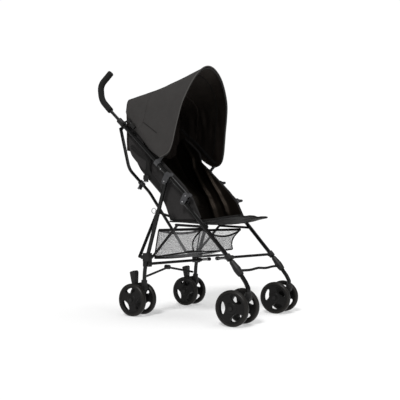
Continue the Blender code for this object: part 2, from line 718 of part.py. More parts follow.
def wheel_mesh():
    """Wheel about the X axis: tyre, rim, three wide spokes and a hub with its bore.

    A flat of the faceted tyre lies at the bottom, at half the wheel's diameter.
    """
    r = WHEEL_DIAMETER / 2 / math.cos(math.pi / WHEEL_STEPS)
    h = WHEEL_WIDTH / 2
    bore = AXLE_RADIUS + BORE_GAP
    profile = [(bore, h), (HUB_DISC_RADIUS, h), (HUB_DISC_RADIUS + 0.002, h - 0.003),
               (RIM_RADIUS - 0.003, h - 0.003), (RIM_RADIUS, h), (r - 0.0025, h - 0.001), (r, h - 0.006),
               (r, -h + 0.006), (r - 0.0025, -h + 0.001), (RIM_RADIUS, -h), (bore, -h)]
    wheel = turned(profile, WHEEL_STEPS, Vector(), Vector((1, 0, 0)))
    wheel.transform(Matrix.Rotation(math.pi / WHEEL_STEPS, 4, "X"))
    windows = []
    for k in range(SPOKES):
        middle = math.pi / 2 + k * 2 * math.pi / SPOKES
        outer = arc_points((0, 0), WINDOW_OUTER, middle - WINDOW_HALF_ANGLE, middle + WINDOW_HALF_ANGLE, 5)
        inner = arc_points((0, 0), WINDOW_INNER, middle + WINDOW_WAIST_ANGLE, middle - WINDOW_WAIST_ANGLE, 2)
        shoulder = (WINDOW_INNER + 2 * WINDOW_OUTER) / 3
        left = arc_points((0, 0), shoulder, middle + WINDOW_HALF_ANGLE * 0.98, middle, 2)[:1]
        right = arc_points((0, 0), shoulder, middle - WINDOW_HALF_ANGLE * 0.98, middle, 2)[:1]
        windows.append(plate(outer + left + inner + right, -h - 0.01, h + 0.01))
    return cut(wheel, *windows)


def build_wheels():
    """Eight wheels that share one mesh shape, each at its own place."""
    shape = wheel_mesh()
    places = []
    for side, tag in SIDES:
        for lateral, where in ((1, "outer"), (-1, "inner")):
            x = side * (SWIVEL_X + lateral * FRONT_PITCH / 2)
            flip = side * lateral < 0
            places.append(("front_wheel_%s_%s" % (tag, where), x, SWIVEL_Y + CASTER_TRAIL, flip))
            x = side * (REAR_LEG_X + lateral * REAR_PITCH / 2)
            places.append(("rear_wheel_%s_%s" % (tag, where), x, REAR_AXLE_Y, flip))
    for name, x, y, flip in places:
        data = shape.copy()
        if flip:
            data.transform(Matrix.Rotation(math.pi, 4, "Z"))
        wheel = add_part(name, data, "wheel_plastic")
        wheel.location = (x, y, WHEEL_DIAMETER / 2)
    bpy.data.meshes.remove(shape)


def build_caster(side, tag):
    """Swivel fork of a front wheel pair, with its axle."""
    swivel = Vector((side * SWIVEL_X, SWIVEL_Y, SWIVEL_TOP - GAP))
    axle = Vector((swivel.x, SWIVEL_Y + CASTER_TRAIL, WHEEL_DIAMETER / 2))
    stem = turned([(0.0, 0.0), (0.0105, 0.0), (0.0135, -0.004), (0.0140, -0.020), (0.0110, -0.030),
                   (0.0, -0.030)], 16, swivel, Vector((0, 0, 1)))
    body = plate(hull_outline([((swivel.y, swivel.z - 0.022), 0.011), ((axle.y, axle.z), 0.0155)]),
                 axle.x - 0.012, axle.x + 0.012)
    half = FRONT_PITCH / 2 + WHEEL_WIDTH / 2
    spindle = drum(AXLE_RADIUS, axle - Vector((half + AXLE_CAP / 2, 0, 0)),
                   axle + Vector((half + AXLE_CAP / 2, 0, 0)), steps=12)
    boss_half = FRONT_PITCH / 2 - WHEEL_WIDTH / 2 - GAP
    boss = drum(0.0095, axle - Vector((boss_half, 0, 0)), axle + Vector((boss_half, 0, 0)), steps=14)
    caps = [drum(AXLE_CAP_RADIUS, axle + Vector((s * (half + GAP), 0, 0)),
                 axle + Vector((s * (half + GAP + AXLE_CAP), 0, 0)), steps=12) for s in (-1, 1)]
    add_part("caster_fork_" + tag, union(body, stem, boss, spindle, *caps), "dark_plastic")


def build_pedal(side, tag):
    """Brake pedal: a broad paddle that rises between the twin wheels from its forked foot."""
    axis = side_point(side, REAR_LEG_X, PEDAL_AXIS)
    neck = axis + Vector((0, *PEDAL_NECK))
    nose = axis + Vector((0, *PEDAL_NOSE))
    heel = axis + Vector((0, *PEDAL_HEEL))
    paddle = plate(hull_outline([((neck.y, neck.z), PEDAL_NECK_RADIUS), ((nose.y, nose.z), PEDAL_NOSE_RADIUS),
                                 ((heel.y, heel.z), PEDAL_HEEL_RADIUS)], 6),
                   axis.x - PEDAL_WIDTH / 2, axis.x + PEDAL_WIDTH / 2)
    clear = 0.0175
    cheek_x = 0.013 + GAP
    yoke = block((2 * cheek_x + 0.006, 0.0095, 0.008), neck)
    cheeks = [plate(hull_outline([((axis.y, axis.z), 0.0135), ((neck.y, neck.z), 0.005)], 5),
                    axis.x + s * cheek_x, axis.x + s * (cheek_x + 0.003)) for s in (-1, 1)]
    hole = drum(0.0095 + BORE_GAP, axis - Vector((clear, 0, 0)), axis + Vector((clear, 0, 0)), steps=14)
    pedal = cut(union(paddle, yoke, *cheeks), hole)
    add_part("brake_pedal_" + tag, pedal, "dark_plastic")


def cross_tube_path(side):
    """Middle line of a crossed tube, from its collar to the far rear leg."""
    depth = CROSS_OFFSET if side < 0 else -CROSS_OFFSET
    foot = CROSS_FOOT_RIGHT if side < 0 else CROSS_FOOT_LEFT
    elbow = mirrored(side, CROSS_ELBOW)
    middle = mirrored(side, CROSS_MIDDLE) + Vector((0, depth, 0))
    end = Vector((-side * CROSS_FOOT_X, foot[0], foot[1]))
    return rounded_path([mirrored(side, CROSS_TOP), elbow, middle, end],
                        (CROSS_ELBOW_BEND, CROSS_MIDDLE_BEND), steps=5)


def build_cross_tubes():
    """The two crossed tubes behind the seat and the lock hook on the right one."""
    for side, tag in SIDES:
        tube("cross_tube_" + tag, cross_tube_path(side), BACK_TUBE_RADIUS, "black_tube")
    path = cross_tube_path(-1)
    start, end = path[6], path[7]
    here = start.lerp(end, HOOK_AT)
    way = (end - start).normalized()
    wing_way = way.cross(Vector((0, 1, 0))).normalized()
    ring = drum(BACK_TUBE_RADIUS + 0.0045, here - way * 0.013, here + way * 0.013)
    frame = Matrix((way, Vector((0, 1, 0)), wing_way)).transposed()
    wing = block((0.020, 0.005, 0.020), here - wing_way * 0.018, frame)
    tip = block((0.008, 0.012, 0.005), here - wing_way * 0.0262 + Vector((0, 0.0043, 0)), frame)
    hook = cut(union(ring, wing, tip), drum(BACK_TUBE_RADIUS + BORE_GAP, here - way * 0.03, here + way * 0.03, steps=16))
    add_part("lock_hook", hook, "grey_plastic")


def build_seat_links(side, tag):
    """Seat rail and the strut that props its rear end from the rear leg."""
    rail = rod(side_point(side, RAIL_X, RAIL_FRONT), side_point(side, RAIL_X, RAIL_REAR), RAIL_RADIUS)
    add_part("seat_rail_" + tag, rail, "black_tube")
    strut = rod(side_point(side, STRUT_X, STRUT_FOOT), side_point(side, STRUT_X, RAIL_REAR), RAIL_RADIUS)
    add_part("seat_strut_" + tag, strut, "black_tube")


def build_arms_and_hub():
    """Four arms from the legs to the hub under the seat."""
    hub = Vector(HUB_CENTRE)
    for side, tag in SIDES:
        for start, name in ((ARM_FRONT, "front"), (ARM_REAR, "rear")):
            outer = mirrored(side, start)
            tip = along(hub, outer, ARM_TIP_RADIUS)
            sleeve_end = along(tip, outer, ARM_SLEEVE)
            arm = union(rod(tip, outer, ARM_RADIUS), drum(ARM_SLEEVE_RADIUS, tip, sleeve_end))
            add_part("%s_arm_%s" % (name, tag), arm, "black_tube")
    front = mirrored(1, ARM_FRONT) - hub
    rear = mirrored(1, ARM_REAR) - hub
    normal = front.cross(rear).normalized()
    if normal.z < 0:
        normal = -normal
    low = ARM_SLEEVE_RADIUS + HUB_CLEARANCE
    profile = [(0.0, low + HUB_DEPTH), (HUB_RADIUS * 0.35, low + HUB_DEPTH), (HUB_RADIUS * 0.8, low + HUB_DEPTH * 0.8),
               (HUB_RADIUS, low + HUB_DEPTH * 0.35), (HUB_RADIUS, low), (0.0, low)]
    add_part("arm_hub", turned(profile, 20, hub, normal), "grey_plastic")


def build_brace():
    """Two halves of the folding brace between the rear legs."""
    knuckle = Vector((0, *KNUCKLE))
    for side, tag in SIDES:
        start = mirrored(side, BRACE_END)
        shift = Vector((0, side * (BRACE_RADIUS + KNUCKLE_CLEARANCE), 0))
        end = knuckle + shift
        way = (end - start).normalized()
        half = rod(start, end, BRACE_RADIUS, steps=10)
        disc = drum(KNUCKLE_RADIUS, end - Vector((0, BRACE_RADIUS, 0)), end + Vector((0, BRACE_RADIUS, 0)))
        pieces = [half, disc]
        if side < 0:
            pieces.append(drum(0.0035, end - Vector((0, BRACE_RADIUS + 0.003, 0)), end, steps=10))
        add_part("brace_half_" + tag, union(*pieces), "black_tube")


def build_hood():
    """Hood cloth over its two bows, the front bow and its pivot clips."""
    half = [Vector(p) for p in HOOD_RIM]
    rim = across(half, Vector(HOOD_APEX))
    foot = Vector(HOOD_REAR_FOOT)
    corner = Vector((foot.x, HOOD_REAR_TOP_Y, HOOD_REAR_TOP_Z))
    middle = Vector((0.0, HOOD_REAR_TOP_Y, HOOD_REAR_TOP_Z + 0.004))
    bow_path = rounded_path([foot, corner, middle], (HOOD_REAR_CORNER,), steps=4)
    rear_half = [point_along(bow_path, step) for step in HOOD_REAR_STEPS]
    rear = across(rear_half, middle)
    edge = [(foot.y, foot.z)] + list(reversed(HOOD_EDGE)) + [HOOD_PIVOT]
    edge = list(reversed(resample(edge, HOOD_ROWS)))
    rows = []
    for i in range(HOOD_ROWS):
        t = i / (HOOD_ROWS - 1)
        row = [a.lerp(b, t) for a, b in zip(rim, rear)]
        drop = Vector((0, edge[i][0] - row[0].y, edge[i][1] - row[0].z))
        for k, fade in ((0, 1.0), (1, 0.55), (2, 0.2)):
            row[k] += drop * fade
            row[-1 - k] += drop * fade
        for k, p in enumerate(row):
            p.z += HOOD_CROWN * 4 * t * (1 - t) * max(0.0, 1 - (2 * k / (len(row) - 1) - 1) ** 4)
        turn = Vector(HOOD_HEM_TURN) * HOOD_HEM[i]
        hem = [row[0] + Vector((turn.x, turn.y, -turn.z)), row[-1] + Vector((-turn.x, turn.y, -turn.z))]
        rows.append([hem[0]] + row + [hem[1]])
    low = Vector(HOOD_BACK_FOOT)
    for i in range(1, HOOD_BACK_ROWS + 1):
        t = i / HOOD_BACK_ROWS
        row = [None]
        for k, p in enumerate(rear):
            goal = Vector((p.x * low.x / foot.x, low.y, low.z))
            inside = HOOD_BACK_SKIP <= k < len(rear) - HOOD_BACK_SKIP
            row.append(p.lerp(goal, t) if inside else None)
        rows.append(row + [None])
    grid_shell("hood_cloth", rows, HOOD_CLOTH, "hood_cloth")
    inset = HOOD_BOW_INSET
    bow = []
    for p in rim:
        inward = Vector((-p.x, 0, HOOD_PIVOT[1] - p.z + 0.15)).normalized()
        crown = HOOD_BOW_CROWN * max(0.0, p.z - HOOD_REAR_TOP_Z) / (HOOD_APEX[2] - HOOD_REAR_TOP_Z)
        bow.append(p + inward * (inset + crown) + Vector((0, 0.004, 0)))
    bow[0] = Vector((-HOOD_PIVOT_X + HOOD_FOOT_INSET, *HOOD_PIVOT))
    bow[-1] = Vector((HOOD_PIVOT_X - HOOD_FOOT_INSET, *HOOD_PIVOT))
    tube("hood_front_bow", bow, BOW_RADIUS, "dark_plastic", sides=4)


def across(half, middle):
    """Points of one side, the middle point and the mirrored side, from -X to +X."""
    return [Vector((-p.x, p.y, p.z)) for p in half] + [middle.copy()] + list(reversed(half))


def point_along(path, distance):
    """Point at a distance along a 3D polyline."""
    left = distance
    for a, b in zip(path, path[1:]):
        if left <= (b - a).length:
            return a.lerp(b, left / (b - a).length)
        left -= (b - a).length
    return path[-1].copy()


def build_hood_clip(side, tag):
    """Clip on the push tube that carries the front bow's pivot."""
    top = side_point(side, PUSH_X, PUSH_TOP)
    foot = side_point(side, PUSH_X, PUSH_FOOT)
    way = (foot - top).normalized()
    pivot = side_point(side, PUSH_X, HOOD_PIVOT)
    seat = top + way * (pivot - top).dot(way)
    ring = drum(PUSH_RADIUS + 0.0042, seat - way * 0.011, seat + way * 0.011)
    out = (pivot - seat).normalized()
    lug_x = side * (HOOD_PIVOT_X - HOOD_FOOT_INSET - BOW_RADIUS - 2 * GAP - PLATE / 2)
    length = (pivot - seat).length
    lug = block((PLATE, 0.014, length), Vector((lug_x, (seat.y + pivot.y) / 2, (seat.z + pivot.z) / 2)),
                Vector((0, 0, 1)).rotation_difference(out).to_matrix())
    eye = drum(0.007, Vector((lug_x - side * PLATE / 2, pivot.y, pivot.z)),
               Vector((lug_x + side * PLATE / 2, pivot.y, pivot.z)))
    clip = cut(union(ring, lug, eye), drum(PUSH_RADIUS + BORE_GAP, seat - way * 0.03, seat + way * 0.03, steps=16))
    add_part("hood_clip_" + tag, clip, "grey_plastic")


def build_seat():
    """Sling seat: back with its side wings, and the base with its front flap."""
    rows_count = 9
    back = resample(BACK_LINE, rows_count)
    wing = resample(WING_LINE, rows_count)
    columns = 18
    rows = []
    for i, (b, w) in enumerate(zip(back, wing)):
        v = i / (rows_count - 1)
        row = []
        for k in range(3):
            t = k / 3
            ear = EAR_RISE * max(0.0, 1 - 3.2 * v) * t
            row.append(Vector((-(SEAT_X + (SEAT_BACK_X - SEAT_X) * t),
                               w[0] + (b[0] - w[0]) * t, w[1] + (b[1] - w[1]) * t + ear)))
        for k in range(columns + 1):
            u = -1 + 2 * k / columns
            fade = (1 - u ** 4) * math.sin(math.pi * min(1.0, 0.10 + v * 1.1)) ** 0.5
            wave = math.cos(FOLDS * math.pi * u + 0.9 * v) * FOLD_DEPTH * fade
            ear = EAR_RISE * max(0.0, (abs(u) * SEAT_BACK_X - EAR_X) / (SEAT_BACK_X - EAR_X)) ** 1.4
            ear *= max(0.0, 1 - 3.2 * v)
            row.append(Vector((u * SEAT_BACK_X, b[0] - wave, b[1] - wave * 0.4 + ear)))
        row += [Vector((-p.x, p.y, p.z)) for p in reversed(row[:3])]
        rows.append(row)
    grid_shell("seat_back", rows, CLOTH, "black_cloth")
    rows = []
    for i in range(9):
        v = i / 8
        y = BASE_REAR_Y - BASE_LENGTH * v
        wide = SEAT_X - CLOTH / 2 - GAP
        half = wide - (wide - BASE_FRONT_X) * max(0.0, v - 0.6) / 0.4
        row = []
        for k in range(13):
            u = -1 + 2 * k / 12
            sag = BASE_SAG * (1 - u * u) * math.sin(math.pi * min(1.0, v * 1.2))
            rise = BASE_TIP_RISE * max(0.0, (v - 0.5) / 0.5)
            ripple = 0.003 * math.sin(7.0 * u + 9.0 * v) * max(0.0, v - 0.5)
            row.append(Vector((u * half, y, BASE_EDGE_Z + BASE_CLOTH / 2 + rise - sag + ripple + 0.0035)))
        rows.append(row)
    grid_shell("seat_base", rows, BASE_CLOTH, "black_cloth")


def build_basket():
    """Net basket under the seat: a sagging floor and four walls, open at the top."""
    (ry, rz), (fy, fz) = BASKET_FLOOR
    (rty, rtz), (fty, ftz) = BASKET_TOP
    section = [(-BASKET_X, 1.0), (-BASKET_X, 0.5), (-BASKET_X + 0.002, BASKET_CORNER * 3)]
    lengthwise = [(rty, rtz, 1.0), ((rty + ry) / 2, (rtz + rz) / 2, 0.5), (ry, rz, 0.0)]
    for k in range(1, 6):
        t = k / 6
        lengthwise.append((ry + (fy - ry) * t, rz + (fz - rz) * t - BASKET_SAG * math.sin(math.pi * t), 0.0))
    lengthwise += [(fy, fz, 0.0), ((fty + fy) / 2 + 0.012, (ftz + fz) / 2, 0.5), (fty, ftz, 1.0)]
    rows = []
    for y, z, wall in lengthwise:
        top = rtz + (ftz - rtz) * (rty - y) / (rty - fty)
        row = []
        for k in range(13):
            u = -1 + 2 * k / 12
            if abs(u) > 0.99:
                height = top
            elif abs(u) > 0.82:
                height = z + (top - z) * 0.45
            else:
                height = z
            reach = 1.0 if abs(u) > 0.82 else 0.985 * abs(u) / (5.0 / 6.0) if abs(u) > 0.6 else abs(u) * 1.16
            x = math.copysign(BASKET_X * min(1.0, reach), u) if u else 0.0
            row.append(Vector((x, y, height)))
        rows.append(row)
    grid_shell("basket", rows, BASKET_CLOTH, "mesh_cloth")


def build_footrest_strap():
    """Thin strap between the two footrest joints."""
    z = STRAP_Z
    y = at_height((FRONT_LEG_FOOT, JOINT_END), z)
    reach = FRONT_LEG_FOOT_X - LEG_RADIUS - BORE_GAP - 0.0062
    rows = []
    for k in range(15):
        u = -1 + 2 * k / 14
        drop = 0.004 * math.cos(2.5 * math.pi * u) * (1 - u * u)
        rows.append([Vector((u * reach, y, z + STRAP_WIDTH / 2 + drop)),
                     Vector((u * reach, y, z - STRAP_WIDTH / 2 + drop))])
    grid_shell("footrest_strap", rows, STRAP_THICKNESS, "black_cloth")


def build():
    """Build every piece of the stroller."""
    clear_scene()
    for side, tag in SIDES:
        build_handle(side, tag)
        build_side_frame(side, tag)
        build_rear_leg(side, tag)
        build_caster(side, tag)
        build_pedal(side, tag)
        build_seat_links(side, tag)
        build_hood_clip(side, tag)
    build_wheels()
    build_cross_tubes()
    build_arms_and_hub()
    build_brace()
    build_hood()
    build_seat()
    build_basket()
    build_footrest_strap()


build()
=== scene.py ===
"""Looks of the lightweight stroller: cloth, wheels, foam, hardware, light and camera.

Metres, +Z up. The stroller faces -Y and its right-hand side lies at -X, as in the
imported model, whose hard parts stay and take their finishes here.
"""
import json
import logging
import math
from dataclasses import dataclass, field
from enum import Enum
from typing import Callable, Dict, List, Optional, Sequence, Tuple

import bmesh
import bpy
from mathutils import Matrix, Vector, noise

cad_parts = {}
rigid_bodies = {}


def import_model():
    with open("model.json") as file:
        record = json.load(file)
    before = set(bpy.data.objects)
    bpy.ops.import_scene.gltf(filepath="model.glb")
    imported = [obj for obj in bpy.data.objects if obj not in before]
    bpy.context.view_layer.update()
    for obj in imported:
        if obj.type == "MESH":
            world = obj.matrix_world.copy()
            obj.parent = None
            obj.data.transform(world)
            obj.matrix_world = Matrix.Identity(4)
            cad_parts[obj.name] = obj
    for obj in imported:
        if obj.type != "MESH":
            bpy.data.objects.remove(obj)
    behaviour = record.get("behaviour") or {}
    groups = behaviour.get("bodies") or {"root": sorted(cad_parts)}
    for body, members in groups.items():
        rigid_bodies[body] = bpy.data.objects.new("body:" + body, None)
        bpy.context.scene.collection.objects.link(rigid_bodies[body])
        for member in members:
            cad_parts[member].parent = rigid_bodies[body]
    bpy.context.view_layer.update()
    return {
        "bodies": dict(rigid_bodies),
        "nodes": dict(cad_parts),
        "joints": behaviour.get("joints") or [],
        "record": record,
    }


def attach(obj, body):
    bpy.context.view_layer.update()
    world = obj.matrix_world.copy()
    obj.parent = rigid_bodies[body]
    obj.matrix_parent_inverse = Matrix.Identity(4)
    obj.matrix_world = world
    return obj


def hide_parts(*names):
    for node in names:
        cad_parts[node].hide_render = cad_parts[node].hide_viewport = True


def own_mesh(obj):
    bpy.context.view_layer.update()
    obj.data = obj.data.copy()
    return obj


LOG = logging.getLogger("stroller")
Point = Tuple[float, float, float]
Colour = Tuple[float, float, float]
Pair = Tuple[float, float]
Surface = Callable[[float, float], Vector]
SIDES: Tuple[Tuple[int, str], ...] = ((-1, "r"), (1, "l"))

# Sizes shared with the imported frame
PUSH_X = 0.207
PUSH_RADIUS = 0.009
PLATE = 0.003
PLATE_CLEARANCE = 0.0012
GAP = 0.0003
FOLD_TRAVEL = 0.166


class Body(Enum):
    """Moving groups that the soft pieces and small hardware ride on."""

    RIGHT = "right_side"
    LEFT = "left_side"
    HOOD_BOW = "hood_bow"
    RAIL = "seat_rail_r"


class Slot(Enum):
    """Material slots of the record."""

    TUBE = "black_tube"
    DARK = "dark_plastic"
    GREY = "grey_plastic"
    FOAM = "foam"
    WHEEL = "wheel_plastic"
    CLOTH = "black_cloth"
    HOOD = "hood_cloth"
    NET = "mesh_cloth"


# ---------------------------------------------------------------- shader maths


class Value:
    """Output socket of a node, with arithmetic that adds Math nodes."""

    def __init__(self, tree: "Tree", socket: bpy.types.NodeSocket) -> None:
        """Keep the tree and the socket that carries the value."""
        self.tree = tree
        self.socket = socket

    def _math(self, operation: str, first: object, second: object) -> "Value":
        """Add one Math node.

        Args:
            operation: name of the Math node's operation.
            first: value or number of its first input.
            second: value or number of its second input.

        Returns:
            The node's output.
        """
        return self.tree.add("ShaderNodeMath", {"operation": operation}, {0: first, 1: second})

    def __add__(self, other: object) -> "Value":
        """Sum."""
        return self._math("ADD", self, other)

    __radd__ = __add__

    def __sub__(self, other: object) -> "Value":
        """Difference."""
        return self._math("SUBTRACT", self, other)

    def __rsub__(self, other: object) -> "Value":
        """Number less this value."""
        return self._math("SUBTRACT", other, self)

    def __mul__(self, other: object) -> "Value":
        """Product."""
        return self._math("MULTIPLY", self, other)

    __rmul__ = __mul__

    def above(self, limit: float) -> "Value":
        """1 where the value is above a limit, else 0."""
        return self._math("GREATER_THAN", self, limit)

    def most(self, other: object) -> "Value":
        """The larger of two values."""
        return self._math("MAXIMUM", self, other)

    def least(self, other: object) -> "Value":
        """The smaller of two values."""
        return self._math("MINIMUM", self, other)

    def fraction(self) -> "Value":
        """Part after the decimal point."""
        return self._math("FRACT", self, 0.0)

    def size(self) -> "Value":
        """Absolute value."""
        return self._math("ABSOLUTE", self, 0.0)


class Tree:
    """Node tree of one material."""

    def __init__(self, name: str) -> None:
        """Make the material and keep its shader node."""
        self.material = bpy.data.materials.new(name)
        self.material.use_nodes = True
        self.nodes = self.material.node_tree.nodes
        self.links = self.material.node_tree.links
        self.shader = self.nodes["Principled BSDF"]

    def add(self, kind: str, settings: Optional[Dict[str, object]] = None,
            sockets: Optional[Dict[object, object]] = None, output: object = 0) -> Value:
        """Add one node.

        Args:
            kind: the node's type.
            settings: its properties, set before its sockets.
            sockets: numbers, vectors or values for its inputs.
            output: name or number of the output to return.

        Returns:
            The chosen output.
        """
        node = self.nodes.new(kind)
        for key, setting in (settings or {}).items():
            setattr(node, key, setting)
        for key, value in (sockets or {}).items():
            self.feed(node.inputs[key], value)
        return Value(self, node.outputs[output])

    def feed(self, socket: bpy.types.NodeSocket, value: object) -> None:
        """Link a value to an input, or set a plain number or colour on it."""
        if isinstance(value, Value):
            self.links.new(value.socket, socket)
        else:
            socket.default_value = value

    def place(self, scale: Sequence[float] = (1.0, 1.0, 1.0), uv: bool = False) -> Value:
        """Pattern position from object space or from the piece's own UV map."""
        where = self.add("ShaderNodeTexCoord", output="UV" if uv else "Object")
        return self.add("ShaderNodeMapping", sockets={"Vector": where, "Scale": scale})

    def threads(self, cells: Pair) -> Tuple[Value, Value]:
        """Threads counted across and down the piece's own UV map.

        Args:
            cells: threads over the whole width and height of the map.

        Returns:
            The counts across and down.
        """
        across = self.add("ShaderNodeSeparateXYZ", sockets={0: self.place((*cells, 1.0), uv=True)})
        return across, Value(self, across.socket.node.outputs[1])

    def grain(self, scale: float, detail: float = 3.0) -> Value:
        """Noise from 0 to 1."""
        return self.add("ShaderNodeTexNoise",
                        sockets={"Scale": scale, "Detail": detail, "Vector": self.place()})

    def blend(self, amount: object, low: Sequence[float], high: Sequence[float]) -> Value:
        """Colour between two colours."""
        return self.add("ShaderNodeMix", {"data_type": "RGBA"},
                        {"Factor": amount, "A": (*low, 1.0), "B": (*high, 1.0)}, output="Result")

    def relief(self, height: Value, strength: float, distance: float) -> None:
        """Feed the shader's normal from a bump height."""
        bump = self.add("ShaderNodeBump", sockets={"Height": height, "Strength": strength,
                                                   "Distance": distance}, output="Normal")
        self.feed(self.shader.inputs["Normal"], bump)

    def surface(self, **values: object) -> None:
        """Set or link the shader's own inputs, spaces written as underscores."""
        for key, value in values.items():
            self.feed(self.shader.inputs[key.replace("_", " ").title()], value)

    def gloss(self, level: float) -> None:
        """Set how strongly the surface mirrors its surroundings, 0.5 being plain plastic."""
        self.shader.inputs["Specular IOR Level"].default_value = level

    @staticmethod
    def uneven(cloud: Value, rough: float, varies: float) -> Value:
        """Roughness that wanders about its middle value with a cloud."""
        return cloud * varies + (rough - varies / 2)


# ---------------------------------------------------------------- finishes


@dataclass(frozen=True)
class Paint:
    """Gloss black powder coat on steel tube, slightly dulled in patches."""

    name: str = "black_powder_coat"
    colour: Colour = (0.0038, 0.0038, 0.0039)
    dust: Colour = (0.0080, 0.0078, 0.0076)
    rough: float = 0.115
    varies: float = 0.08
    patches: float = 24.0
    gloss: float = 0.21

    def make(self) -> bpy.types.Material:
        """Return the material."""
        tree = Tree(self.name)
        wear = tree.grain(self.patches)
        tree.surface(base_color=tree.blend(wear, self.colour, self.dust),
                     roughness=tree.uneven(wear, self.rough, self.varies))
        tree.gloss(self.gloss)
        return tree.material


@dataclass(frozen=True)
class Moulded:
    """Moulded plastic with a fine spark-eroded grain and paler rubbed areas."""

    name: str
    colour: Colour
    rubbed: Colour
    rough: float = 0.48
    varies: float = 0.16
    patches: float = 34.0
    grain: float = 2200.0
    fine: float = 0.4
    relief: float = 0.16
    depth: float = 0.00015
    gloss: float = 0.20

    def make(self) -> bpy.types.Material:
        """Return the material."""
        tree = Tree(self.name)
        broad = tree.grain(self.patches, 5.0)
        tree.surface(base_color=tree.blend(broad, self.colour, self.rubbed),
                     roughness=tree.uneven(broad, self.rough, self.varies))
        tree.gloss(self.gloss)
        height = tree.grain(self.grain, 2.0) * self.fine + broad * (1.0 - self.fine)
        tree.relief(height, self.relief, self.depth)
        return tree.material


@dataclass(frozen=True)
class Foam:
    """Closed-cell foam sleeve: matt, with fine pores."""

    name: str = "foam_sleeve"
    colour: Colour = (0.0048, 0.0048, 0.0048)
    pale: Colour = (0.0135, 0.0133, 0.0131)
    rough: float = 0.86
    varies: float = 0.12
    cells: float = 900.0
    patches: float = 90.0
    gloss: float = 0.20
    depth: float = 0.0004

    def make(self) -> bpy.types.Material:
        """Return the material."""
        tree = Tree(self.name)
        pores = tree.add("ShaderNodeTexVoronoi",
                         sockets={"Vector": tree.place(), "Scale": self.cells})
        mottle = tree.grain(self.patches, 6.0)
        tree.surface(base_color=tree.blend(mottle, self.colour, self.pale),
                     roughness=tree.uneven(mottle, self.rough, self.varies))
        tree.gloss(self.gloss)
        tree.relief(pores + mottle * 0.5, 0.35, self.depth)
        return tree.material


@dataclass(frozen=True)
class Woven:
    """Plain woven cloth whose threads follow the piece's UV map."""

    name: str
    colour: Colour
    bright: Colour
    threads: Pair = (420.0, 420.0)
    rough: float = 0.86
    varies: float = 0.10
    crumple: float = 0.25
    depth: float = 0.0006
    gloss: float = 0.15
    glint: Colour = (1.0, 1.0, 1.0)

    def make(self) -> bpy.types.Material:
        """Return the material."""
        tree = Tree(self.name)
        across, down = tree.threads(self.threads)
        warp = (across.fraction() - 0.5).size() * -2.0 + 1.0
        weft = (down.fraction() - 0.5).size() * -2.0 + 1.0
        over = ((across * 0.5).fraction() - 0.5).above(0.0)
        under = ((down * 0.5).fraction() - 0.5).above(0.0)
        checks = (over - under).size()
        weave = warp * checks + weft * (1.0 - checks)
        cloud = tree.grain(26.0, 5.0)
        crease = tree.grain(11.0, 8.0)
        tone = (cloud * 0.75 + weave * 0.25).least(1.0)
        tree.surface(base_color=tree.blend(tone, self.colour, self.bright),
                     roughness=tree.uneven(cloud, self.rough, self.varies))
        tree.gloss(self.gloss)
        tree.shader.inputs["Specular Tint"].default_value = (*self.glint, 1.0)
        tree.relief(weave * 0.35 + crease * (self.crumple * 8.0), 0.30, self.depth)
        return tree.material


@dataclass(frozen=True)
class Net:
    """Open knitted net: dark threads with clear holes between them."""

    name: str = "basket_net"
    colour: Colour = (0.075, 0.075, 0.078)
    bright: Colour = (0.22, 0.22, 0.225)
    cells: Pair = (130.0, 84.0)
    thread: float = 0.13
    rough: float = 0.75

    def make(self) -> bpy.types.Material:
        """Return the material."""
        tree = Tree(self.name)
        across, down = tree.threads(self.cells)
        one = ((across + down).fraction() - 0.5).size()
        two = ((across - down).fraction() - 0.5).size()
        threads = one.most(two).above(0.5 - self.thread)
        cloud = tree.grain(40.0, 4.0)
        tree.surface(base_color=tree.blend(cloud, self.colour, self.bright),
                     roughness=self.rough, alpha=threads)
        tree.relief(cloud, 0.2, 0.0004)
        return tree.material


@dataclass(frozen=True)
class Webbing:
    """Narrow woven strap with ribs across it and a bound edge."""

    name: str = "black_webbing"
    colour: Colour = (0.0022, 0.0021, 0.0020)
    bright: Colour = (0.0075, 0.0072, 0.0070)
    rough: float = 0.795
    varies: float = 0.15
    ribs: float = 160.0
    gloss: float = 0.2

    def make(self) -> bpy.types.Material:
        """Return the material."""
        tree = Tree(self.name)
        ribs = tree.add("ShaderNodeTexWave", {"wave_profile": "SIN"},
                        {"Vector": tree.place(), "Scale": self.ribs, "Distortion": 1.0})
        cloud = tree.grain(70.0, 3.0)
        tree.surface(base_color=tree.blend(ribs * 0.6 + cloud * 0.4, self.colour, self.bright),
                     roughness=tree.uneven(cloud, self.rough, self.varies))
        tree.gloss(self.gloss)
        tree.relief(ribs, 0.3, 0.0004)
        return tree.material


@dataclass(frozen=True)
class Steel:
    """Bright zinc plate on rivets, rings and strap slides."""

    name: str = "zinc_plate"
    colour: Colour = (0.30, 0.30, 0.31)
    bright: Colour = (0.48, 0.48, 0.49)
    metal: float = 0.9
    rough: float = 0.32
    varies: float = 0.20

    def make(self) -> bpy.types.Material:
        """Return the material."""
        tree = Tree(self.name)
        cloud = tree.grain(240.0, 3.0)
        tree.surface(base_color=tree.blend(cloud, self.colour, self.bright), metallic=self.metal,
                     roughness=tree.uneven(cloud, self.rough, self.varies))
        return tree.material


